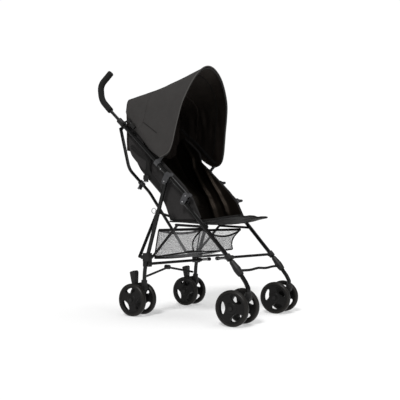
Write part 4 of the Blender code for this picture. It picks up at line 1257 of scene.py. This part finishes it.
@dataclass
class Seat(Assembly):
    """Sling seat: back with wings, base with flap, hems and corner gussets."""

    half_width: float = 0.1948
    side_x: float = PUSH_X - PUSH_RADIUS - PLATE_CLEARANCE - PLATE - GAP - 0.0015
    base_gap: float = 0.0015
    back_x: float = 0.178
    wing_share: float = 6 / 18
    ear_x: float = 0.095
    ear_rise: float = 0.042
    back_line: Tuple[Pair, ...] = (
        (0.2265, 0.715), (0.2245, 0.695), (0.2035, 0.668), (0.177, 0.632), (0.139, 0.590),
        (0.059, 0.510), (0.029, 0.452), (0.0072, 0.3957))
    wing_line: Tuple[Pair, ...] = (
        (0.200, 0.785), (0.150, 0.741), (0.094, 0.687), (0.018, 0.613), (-0.066, 0.531),
        (-0.107, 0.480), (-0.146, 0.3975))
    wing_rise: float = 0.026
    rise_ends: float = 0.30
    wing_folds: Tuple[Tuple[float, float, Tuple[Pair, ...]], ...] = (
        (0.0080, 0.080, ((0.03, 0.22), (0.17, 0.34), (0.32, 0.48), (0.45, 0.64), (0.57, 0.76),
                         (0.72, 0.85), (0.95, 0.90))),
        (0.0066, 0.065, ((0.33, 0.04), (0.45, 0.17), (0.57, 0.30), (0.73, 0.42), (0.90, 0.47))))
    fold_end: float = 0.06
    gusset_x: float = 0.1955
    gusset_hollow: float = 0.003
    gusset_wall: float = 0.0014
    gusset_rear: Tuple[Pair, ...] = (
        (0.2190, 0.862), (0.2185, 0.790), (0.2177, 0.735), (0.2026, 0.6865), (0.1791, 0.6547),
        (0.1282, 0.6075))
    gusset_front: Tuple[Pair, ...] = (
        (0.150, 0.784), (0.143, 0.760), (0.136, 0.730), (0.125, 0.690), (0.112, 0.655),
        (0.100, 0.620))
    folds: int = 3
    depth: float = 0.0085
    base_length: float = 0.290
    base_rear: float = 0.0045
    base_z: float = 0.3840
    base_cloth: float = 0.007
    base_front_x: float = 0.132
    tip_rise: float = 0.020
    wall: float = 0.0022

    def back_point(self, u: float, v: float) -> Vector:
        """Point of the seat back and its wings.

        Args:
            u: share across, from 0 at the right wing's edge to 1 at the left's.
            v: share down, from 0 at the top.

        Returns:
            The point.
        """
        c = (u * 2 - 1) * (1 + self.wing_share)
        b = line_at(self.back_line, v)
        w = line_at(self.wing_line, v)
        rise = self.wing_rise * max(0.0, min(1.0, (self.rise_ends - v) / 0.08))
        w = (w[0] - 0.70 * rise, w[1] + 0.71 * rise)
        side = math.copysign(1.0, c)
        far = abs(c)
        ear_fade = max(0.0, 1 - 3.2 * v)
        if far > 1.0:
            t = min(1.0, (1 + self.wing_share - far) / self.wing_share)
            ear = self.ear_rise * ear_fade * t
            pull = -self.fold_height(t, v) * (1.0 if side > 0 else 0.25)
            p = Vector((side * (self.side_x + (self.back_x - self.side_x) * t + pull),
                        w[0] + (b[0] - w[0]) * t, w[1] + (b[1] - w[1]) * t + ear))
            return p + Vector((side * -0.0015 * ripple(p, 16.0, 2.0), 0.0, 0.0))
        fade = (1 - far ** 4) * math.sin(math.pi * min(1.0, 0.10 + v * 1.1)) ** 0.5
        phase = self.folds * math.pi * c + 0.9 * v
        wave = (math.cos(phase) + 0.35 * math.cos(2 * phase + 0.6)) * self.depth * fade
        reach = max(0.0, (far * self.back_x - self.ear_x) / (self.back_x - self.ear_x))
        ear = self.ear_rise * reach ** 1.4
        p = Vector((c * self.back_x, b[0] - wave, b[1] - wave * 0.4 + ear * ear_fade))
        return p + Vector((0.0, -0.0025 * fade * ripple(p, 14.0, 6.0), 0.0))

    def fold_height(self, t: float, v: float) -> float:
        """Height of the wing's long folds.

        Args:
            t: share of the wing's breadth, from its outer edge.
            v: share of its length, from the top.

        Returns:
            The height above the plain wing.
        """
        total = 0.0
        for height, width, line in self.wing_folds:
            fade = min(1.0, (v - line[0][0] + self.fold_end) / self.fold_end,
                       (line[-1][0] + self.fold_end - v) / self.fold_end)
            if fade <= 0.0:
                continue
            middle = line[0][1] if v < line[0][0] else line[-1][1]
            for (v0, t0), (v1, t1) in zip(line, line[1:]):
                if v0 <= v <= v1:
                    share = (v - v0) / (v1 - v0)
                    middle = t0 + (t1 - t0) * share
            total += height * fade * math.exp(-((t - middle) / width) ** 2)
        return total

    def base_point(self, u: float, v: float) -> Vector:
        """Point of the seat base and its flap.

        Args:
            u: share across, from the right to the left.
            v: share forwards, from 0 at the rear to 1 at the flap's tip.

        Returns:
            The point.
        """
        c = u * 2 - 1
        y = self.base_rear - self.base_length * v
        wide = self.side_x - self.base_gap - GAP
        half = wide - (wide - self.base_front_x) * max(0.0, v - 0.6) / 0.4
        sag = 0.010 * (1 - c * c) * math.sin(math.pi * min(1.0, v * 1.2))
        rise = self.tip_rise * max(0.0, (v - 0.5) / 0.5)
        wrinkle = 0.003 * math.sin(7.0 * c + 9.0 * v) * max(0.0, v - 0.5)
        p = Vector((c * half, y, self.base_z + self.base_cloth / 2 + rise - sag + wrinkle + 0.0035))
        p.z += 0.0020 * ripple(Vector((p.x, p.y * 0.4, 0.0)), 30.0, 4.0) * min(1.0, v * 2)
        return p

    def build(self) -> None:
        """Make the back, the base, their hems and the corner gussets."""
        faces = (self.finishes.panel, self.finishes.seat)
        back = self.cloth("seat_sling", self.back_point, (304, 90), faces, self.wall,
                          Body.RIGHT.value, Slot.CLOTH, replaces=("seat_back",),
                          narrows=self.half_width)
        base = self.cloth("seat_bottom", self.base_point, (96, 72), (self.finishes.flap,),
                          self.base_cloth * 0.8, Body.RAIL.value, Slot.CLOTH,
                          replaces=("seat_base",), narrows=self.half_width)
        self.build_hems()
        self.build_gussets()

    def build_gussets(self) -> None:
        """Side pieces that close the corner between the wings, the hood and the back."""
        rear = [Vector((0.0, *p)) for p in self.gusset_rear]
        front = [Vector((0.0, *p)) for p in self.gusset_front]
        for side, tag in SIDES:
            def panel(u: float, v: float, s: int = side) -> Vector:
                """Point of the gusset: u forwards, v down."""
                p = catmull(rear, v).lerp(catmull(front, v), u)
                hollow = self.gusset_hollow * math.sin(math.pi * u) * math.sin(math.pi * v)
                p.x = s * (self.gusset_x - hollow)
                return p

            faces = (self.finishes.lining, self.finishes.panel)
            piece = self.cloth("corner_gusset_" + tag, panel, (24, 40),
                               faces if side < 0 else faces[::-1], self.gusset_wall,
                               Body.RIGHT.value, Slot.CLOTH, narrows=self.half_width)

    def build_hems(self) -> None:
        """Turned hems along the wings and round the flap."""
        for tag, u in (("r", 0.0), ("l", 1.0)):
            path = [self.back_point(u, v) for v in shares(60, 0.01, 0.99)]
            self.strip("wing_hem_" + tag, path, (0.0060, 0.0017), 10, (0.0, 0.5, -0.6),
                       self.finishes.panel, Body.RIGHT.value, Slot.CLOTH,
                       narrows=self.half_width)
        path = [self.base_point(0.003, v) for v in shares(30, 0.05, 0.98)]
        path += [self.base_point(u, 0.992) for u in shares(30, 0.03, 0.97)]
        path += [self.base_point(0.997, v) for v in shares(30, 0.98, 0.05)]
        self.strip("flap_binding", path, (0.0040, 0.0030), 8, (0.0, 0.0, 1.0),
                   self.finishes.binding, Body.RAIL.value, Slot.CLOTH, narrows=self.half_width)


@dataclass
class Basket(Assembly):
    """Net basket with bound edges."""

    half_x: float = 0.1657
    top: Tuple[Pair, Pair] = ((0.0757, 0.356), (-0.1380, 0.360))
    floor: Tuple[Pair, Pair] = ((0.0970, 0.243), (-0.0957, 0.271))
    sag: float = 0.012
    hollow: float = 0.020
    slack: float = 0.004
    dips: Pair = (0.014, 0.030)

    def side_point(self, side: int, u: float, v: float) -> Vector:
        """Point of a side panel.

        Args:
            side: -1 for the right panel, 1 for the left.
            u: share forwards, from 0 at the rear.
            v: share down, from 0 at the top.

        Returns:
            The point.
        """
        (ry, rz), (fy, fz) = self.floor
        (rty, rtz), (fty, ftz) = self.top
        hollow = self.hollow * math.sin(math.pi * v) * u ** 3
        y_top, z_top = rty + (fty - rty) * u, rtz + (ftz - rtz) * u
        y_low, z_low = ry + (fy - ry) * u, rz + (fz - rz) * u
        y = y_top + (y_low - y_top) * v + hollow
        z = z_top + (z_low - z_top) * v
        x = self.half_x - self.slack * math.sin(math.pi * v) * math.sin(math.pi * u)
        return Vector((side * x, y, z))

    def floor_point(self, u: float, v: float) -> Vector:
        """Point of the floor.

        Args:
            u: share across.
            v: share from the rear to the front.

        Returns:
            The point.
        """
        (ry, rz), (fy, fz) = self.floor
        c = u * 2 - 1
        z = rz + (fz - rz) * v - self.sag * math.sin(math.pi * v) * (1 - c ** 4)
        return Vector((c * self.half_x, ry + (fy - ry) * v, z - self.slack * (1 - c ** 2)))

    def end_point(self, front: bool, u: float, v: float) -> Vector:
        """Point of the rear or front wall.

        Args:
            front: whether it is the front wall.
            u: share across.
            v: share down, from 0 at the top.

        Returns:
            The point.
        """
        c = u * 2 - 1
        top, low = self.top[front], self.floor[front]
        dip = self.dips[front] * (1 - c * c) * (1 - v)
        hollow = self.hollow * math.sin(math.pi * v) if front else 0.0
        y = top[0] + (low[0] - top[0]) * v + hollow
        z = top[1] + (low[1] - top[1]) * v - dip - self.slack * (1 - c ** 2) * v
        return Vector((c * self.half_x, y, z))

    def build(self) -> None:
        """Make the net and its bindings."""
        form = Form()
        for side in (-1, 1):
            form.sheet(lambda u, v, s=side: self.side_point(s, u, v), 40, 24)
        form.sheet(self.floor_point, 44, 36)
        for front in (False, True):
            form.sheet(lambda u, v, f=front: self.end_point(f, u, v), 44, 24)
        net = form.done("basket_net", (self.finishes.net,), recalculate=False)
        self.settle(net, Body.RIGHT.value, Slot.NET, ("basket",), narrows=self.half_x)
        for side, tag in SIDES:
            for edge, path, half in (
                    ("top", [self.side_point(side, t, 0.0) for t in shares(30)], 0.0055),
                    ("low", [self.side_point(side, t, 1.0) for t in shares(30)], 0.0035),
                    ("rear", [self.side_point(side, 0.0, t) for t in shares(20)], 0.0035),
                    ("front", [self.side_point(side, 1.0, t) for t in shares(20)], 0.0035)):
                self.bind("%s_%s" % (edge, tag), path, half)
        for edge, front, v, half in (
                ("rear_top", False, 0.0, 0.0055), ("rear_low", False, 1.0, 0.0080),
                ("front_top", True, 0.0, 0.0040), ("front_low", True, 1.0, 0.0025)):
            self.bind(edge, [self.end_point(front, t, v) for t in shares(40)], half)

    def bind(self, edge: str, path: Sequence[Vector], half: float) -> None:
        """Make one binding tape.

        Args:
            edge: the edge that it binds.
            path: its middle line.
            half: half its breadth.
        """
        self.strip("basket_edge_" + edge, path, (half, 0.0011), 8, (0.0, 0.0, 1.0),
                   self.finishes.binding, Body.RIGHT.value, Slot.CLOTH, narrows=self.half_x)


@dataclass
class Straps(Assembly):
    """Webbing straps, buckles and rings beside the seat."""

    side_x: float = 0.1990
    recline: Tuple[Pair, ...] = (
        (0.1015, 0.700), (0.1040, 0.660), (0.1075, 0.607), (0.1153, 0.582), (0.1178, 0.557))
    cross: Tuple[Pair, ...] = (
        (0.1965, 0.7157), (0.1554, 0.6824), (0.1113, 0.6495), (0.1002, 0.5984), (0.0764, 0.5720),
        (0.0472, 0.5374))
    tail: Tuple[Point, ...] = (
        (0.2060, 0.0631, 0.4345), (0.1930, 0.0266, 0.4200), (0.1900, -0.0230, 0.4048))
    ring: Point = (0.2165, 0.0640, 0.4350)
    ring_radius: float = 0.0105
    ring_wire: float = 0.0016

    def band(self, name: str, path: Sequence[Vector], half: float, thick: float, up: Point,
             body: Body) -> None:
        """Make one flat strap.

        Args:
            name: the piece's name.
            path: its middle line.
            half: half its breadth.
            thick: half its thickness.
            up: direction that its breadth keeps near.
            body: the body that carries it.
        """
        strap = self.strip(name, path, (half, thick), 4, up, self.finishes.webbing, body.value,
                           Slot.CLOTH)
        length = sum((b - a).length for a, b in zip(path, path[1:]))

    def build(self) -> None:
        """Make the straps of both sides."""
        for side, tag in SIDES:
            body = Body.RIGHT if side < 0 else Body.LEFT
            down = smooth_path([(side * self.side_x, y, z) for y, z in self.recline], 22)
            self.band("recline_strap_" + tag, down, 0.0115, 0.0011, (0.0, 1.0, 0.0), body)
            over = smooth_path([(side * (self.side_x + 0.0014), y, z) for y, z in self.cross], 22)
            self.band("side_strap_" + tag, over, 0.0060, 0.0010, (0.0, 0.7, -0.9), body)
            tail = smooth_path([(side * x, y, z) for x, y, z in self.tail], 16)
            self.band("ring_strap_" + tag, tail, 0.0050, 0.0010, (0.0, 0.3, 1.0), body)
            self.buckles(side, tag, body)
            self.ring_piece(side, tag, body)

    def buckles(self, side: int, tag: str, body: Body) -> None:
        """Ladder buckle and slide on the recline strap.

        Args:
            side: -1 for the right side, 1 for the left.
            tag: the side's letter.
            body: the body that carries them.
        """
        form = Form()
        (y0, z0), (y1, z1) = self.recline[-2], self.recline[-1]
        lean = Vector((0, 0, 1)).rotation_difference(Vector((0, y0 - y1, z0 - z1))).to_matrix()
        x = side * (self.side_x + 0.0024)
        form.block((0.0048, 0.0270, 0.0190), Vector((x, y0 + 0.001, z0 - 0.006)), lean, 0.0016)
        for drop in (0.002, 0.011):
            bar = Vector((x, y0 + 0.001, z0 - drop))
            form.block((0.0056, 0.0200, 0.0040), bar, lean, 0.0012)
        self.settle(form.done("ladder_buckle_" + tag, (self.finishes.dark,)), body.value, Slot.DARK)
        form = Form()
        form.block((0.0036, 0.0230, 0.0060), Vector((x, y1 + 0.002, z1 + 0.002)), lean, 0.0014)
        self.settle(form.done("strap_slide_" + tag, (self.finishes.steel,)), body.value, Slot.TUBE)

    def ring_piece(self, side: int, tag: str, body: Body) -> None:
        """Metal ring at the end of the ring strap.

        Args:
            side: -1 for the right side, 1 for the left.
            tag: the side's letter.
            body: the body that carries it.
        """
        centre = Vector((side * self.ring[0], self.ring[1], self.ring[2]))
        path = [centre + Vector((0.0, math.cos(a), math.sin(a))) * self.ring_radius
                for a in shares(28, 0.0, 2 * math.pi)]
        self.strip("strap_ring_" + tag, path, (self.ring_wire,) * 2, 8, (1.0, 0.0, 0.0),
                   self.finishes.steel, body.value, Slot.TUBE)


@dataclass
class FootStrap(Assembly):
    """Thin strap between the two footrest joints."""

    z: float = 0.202
    y: float = -0.3131
    reach: float = 0.1779
    breadth: float = 0.010
    wall: float = 0.0012
    wave: float = 0.0022

    def build(self) -> None:
        """Make the strap with its slack waves."""
        def point(u: float, v: float) -> Vector:
            """Strap point: u across, v down."""
            c = u * 2 - 1
            drop = self.wave * math.cos(2.1 * math.pi * (c + 0.15)) * (1 - c * c)
            return Vector((c * self.reach, self.y + 0.001 * math.sin(5 * c),
                           self.z + self.breadth / 2 - self.breadth * v + drop))

        piece = self.cloth("foot_strap", point, (80, 4), (self.finishes.webbing,), self.wall,
                           Body.RIGHT.value, Slot.CLOTH, replaces=("footrest_strap",),
                           narrows=self.reach)


@dataclass
class Hardware(Assembly):
    """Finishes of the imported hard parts, and the small bright parts on them."""

    tubes: Tuple[str, ...] = (
        "push_tube", "handle_tube", "front_leg", "lower_leg", "rear_leg", "cross_tube",
        "seat_rail", "seat_strut", "front_arm", "rear_arm", "brace_half")
    grey: Tuple[str, ...] = (
        "front_leg_bracket", "rear_leg_bracket", "hood_clip", "lock_hook", "arm_hub")
    rivet_spots: Tuple[Pair, ...] = (
        (0.0287, 0.6044), (0.0114, 0.5535), (-0.092, 0.491), (-0.078, 0.468))
    rivet_x: float = 0.2198
    rivet_radius: float = 0.0030
    rivet_height: float = 0.0022

    def dress(self, nodes: Dict[str, bpy.types.Object]) -> None:
        """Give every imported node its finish.

        Args:
            nodes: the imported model's objects by name.
        """
        for name, node in nodes.items():
            if name.startswith(self.grey):
                finish = self.finishes.grey
            elif name.startswith(self.tubes):
                finish = self.finishes.paint
            elif name.startswith(("front_wheel", "rear_wheel")):
                finish = self.finishes.wheel
            elif name.startswith(("seat_", "basket", "footrest_strap", "hood_cloth")):
                finish = self.finishes.seat
            elif name.startswith("handle_grip"):
                finish = self.finishes.foam
            else:
                finish = self.finishes.dark
            node.data.materials.clear()
            node.data.materials.append(finish)
            LOG.info("%s is finished in %s", name, finish.name)

    def build(self) -> None:
        """Add rivet heads on the brackets."""
        for side, tag in SIDES:
            body = Body.RIGHT if side < 0 else Body.LEFT
            form = Form()
            for y, z in self.rivet_spots:
                form.disc(Vector((side * self.rivet_x, y, z)), Vector((side, 0, 0)),
                          self.rivet_radius, self.rivet_height)
            rivets = form.done("rivets_" + tag, (self.finishes.steel,))
            self.settle(rivets, body.value, Slot.TUBE)


# ---------------------------------------------------------------- stage


@dataclass
class Studio:
    """Floor, soft light and the photograph's camera."""

    place: Point = (-2.0121, -1.2594, 0.3473)
    azimuth: float = -57.47
    elevation: float = -2.03
    lens: float = 48.89
    shift: Pair = (0.0239, 0.0324)
    floor_glow: float = 0.38
    floor_tone: float = 0.62
    floor_half: float = 40.0
    ambient: float = 0.26
    backdrop: float = 1.03
    lamps: Tuple[Tuple[str, Point, float, float], ...] = (
        ("key", (-0.69, -0.17, 0.70), 13.0, 2.2), ("top", (0.25, -0.20, 0.94), 50.0, 1.0),
        ("fill", (-0.25, -0.92, 0.30), 30.0, 0.45))

    def camera(self) -> None:
        """Create the camera."""
        data = bpy.data.cameras.new("view")
        data.sensor_width = 36.0
        data.lens = self.lens
        data.shift_x, data.shift_y = self.shift
        data.clip_start = 0.05
        eye = bpy.data.objects.new("view", data)
        bpy.context.scene.collection.objects.link(eye)
        a, e = math.radians(self.azimuth), math.radians(self.elevation)
        way = Vector((-math.sin(a) * math.cos(e), math.cos(a) * math.cos(e), -math.sin(e)))
        eye.location = self.place
        eye.rotation_mode = "QUATERNION"
        eye.rotation_quaternion = way.to_track_quat("-Z", "Y")
        bpy.context.scene.camera = eye

    def floor(self) -> None:
        """Create the pale floor."""
        bm = bmesh.new()
        bmesh.ops.create_grid(bm, x_segments=1, y_segments=1, size=self.floor_half)
        data = bpy.data.meshes.new("floor")
        bm.to_mesh(data)
        bm.free()
        tree = Tree("pale_floor")
        tree.surface(base_color=(*(self.floor_tone,) * 3, 1.0), roughness=1.0)
        tree.gloss(0.0)
        tree.shader.inputs["Emission Color"].default_value = (1.0, 1.0, 1.0, 1.0)
        tree.shader.inputs["Emission Strength"].default_value = self.floor_glow
        data.materials.append(tree.material)
        plane = bpy.data.objects.new("floor", data)
        bpy.context.scene.collection.objects.link(plane)

    def lamp(self, name: str, way: Point, spread: float, strength: float) -> None:
        """Create one soft light that reaches the whole floor evenly.

        Args:
            name: its name.
            way: direction from the stroller to the light.
            spread: apparent width in degrees.
            strength: light that it casts, in watts for each square metre.
        """
        data = bpy.data.lights.new(name, "SUN")
        data.angle = math.radians(spread)
        data.energy = strength
        lamp = bpy.data.objects.new(name, data)
        bpy.context.scene.collection.objects.link(lamp)
        lamp.location = Vector(way) * 3
        lamp.rotation_mode = "QUATERNION"
        lamp.rotation_quaternion = (-Vector(way)).to_track_quat("-Z", "Y")

    def build(self) -> None:
        """Set the stage."""
        self.camera()
        self.floor()
        for lamp in self.lamps:
            self.lamp(*lamp)
        self.surroundings()
        bpy.context.scene.view_settings.view_transform = "Standard"

    def surroundings(self) -> None:
        """White backdrop that lights the stroller more weakly than it looks."""
        world = bpy.data.worlds.new("studio")
        bpy.context.scene.world = world
        world.use_nodes = True
        nodes, links = world.node_tree.nodes, world.node_tree.links
        soft = nodes["Background"]
        soft.inputs["Color"].default_value = (1.0, 1.0, 1.0, 1.0)
        soft.inputs["Strength"].default_value = self.ambient
        seen = nodes.new("ShaderNodeBackground")
        seen.inputs["Color"].default_value = (1.0, 1.0, 1.0, 1.0)
        seen.inputs["Strength"].default_value = self.backdrop
        mix = nodes.new("ShaderNodeMixShader")
        links.new(nodes.new("ShaderNodeLightPath").outputs["Is Camera Ray"], mix.inputs[0])
        links.new(soft.outputs[0], mix.inputs[1])
        links.new(seen.outputs[0], mix.inputs[2])
        links.new(mix.outputs[0], nodes["World Output"].inputs["Surface"])


def main() -> None:
    """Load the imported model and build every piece."""
    logging.basicConfig(level=logging.INFO, format="%(name)s: %(message)s")
    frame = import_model()
    Studio().build()
    finishes = Finishes()
    hardware = Hardware(finishes)
    hardware.dress(frame["nodes"])
    for assembly in (hardware, Wheels(finishes), Grips(finishes), Hood(finishes), Seat(finishes),
                     Basket(finishes), Straps(finishes), FootStrap(finishes)):
        LOG.info("building %s", type(assembly).__name__)
        assembly.build()


if __name__ == "__main__":
    main()
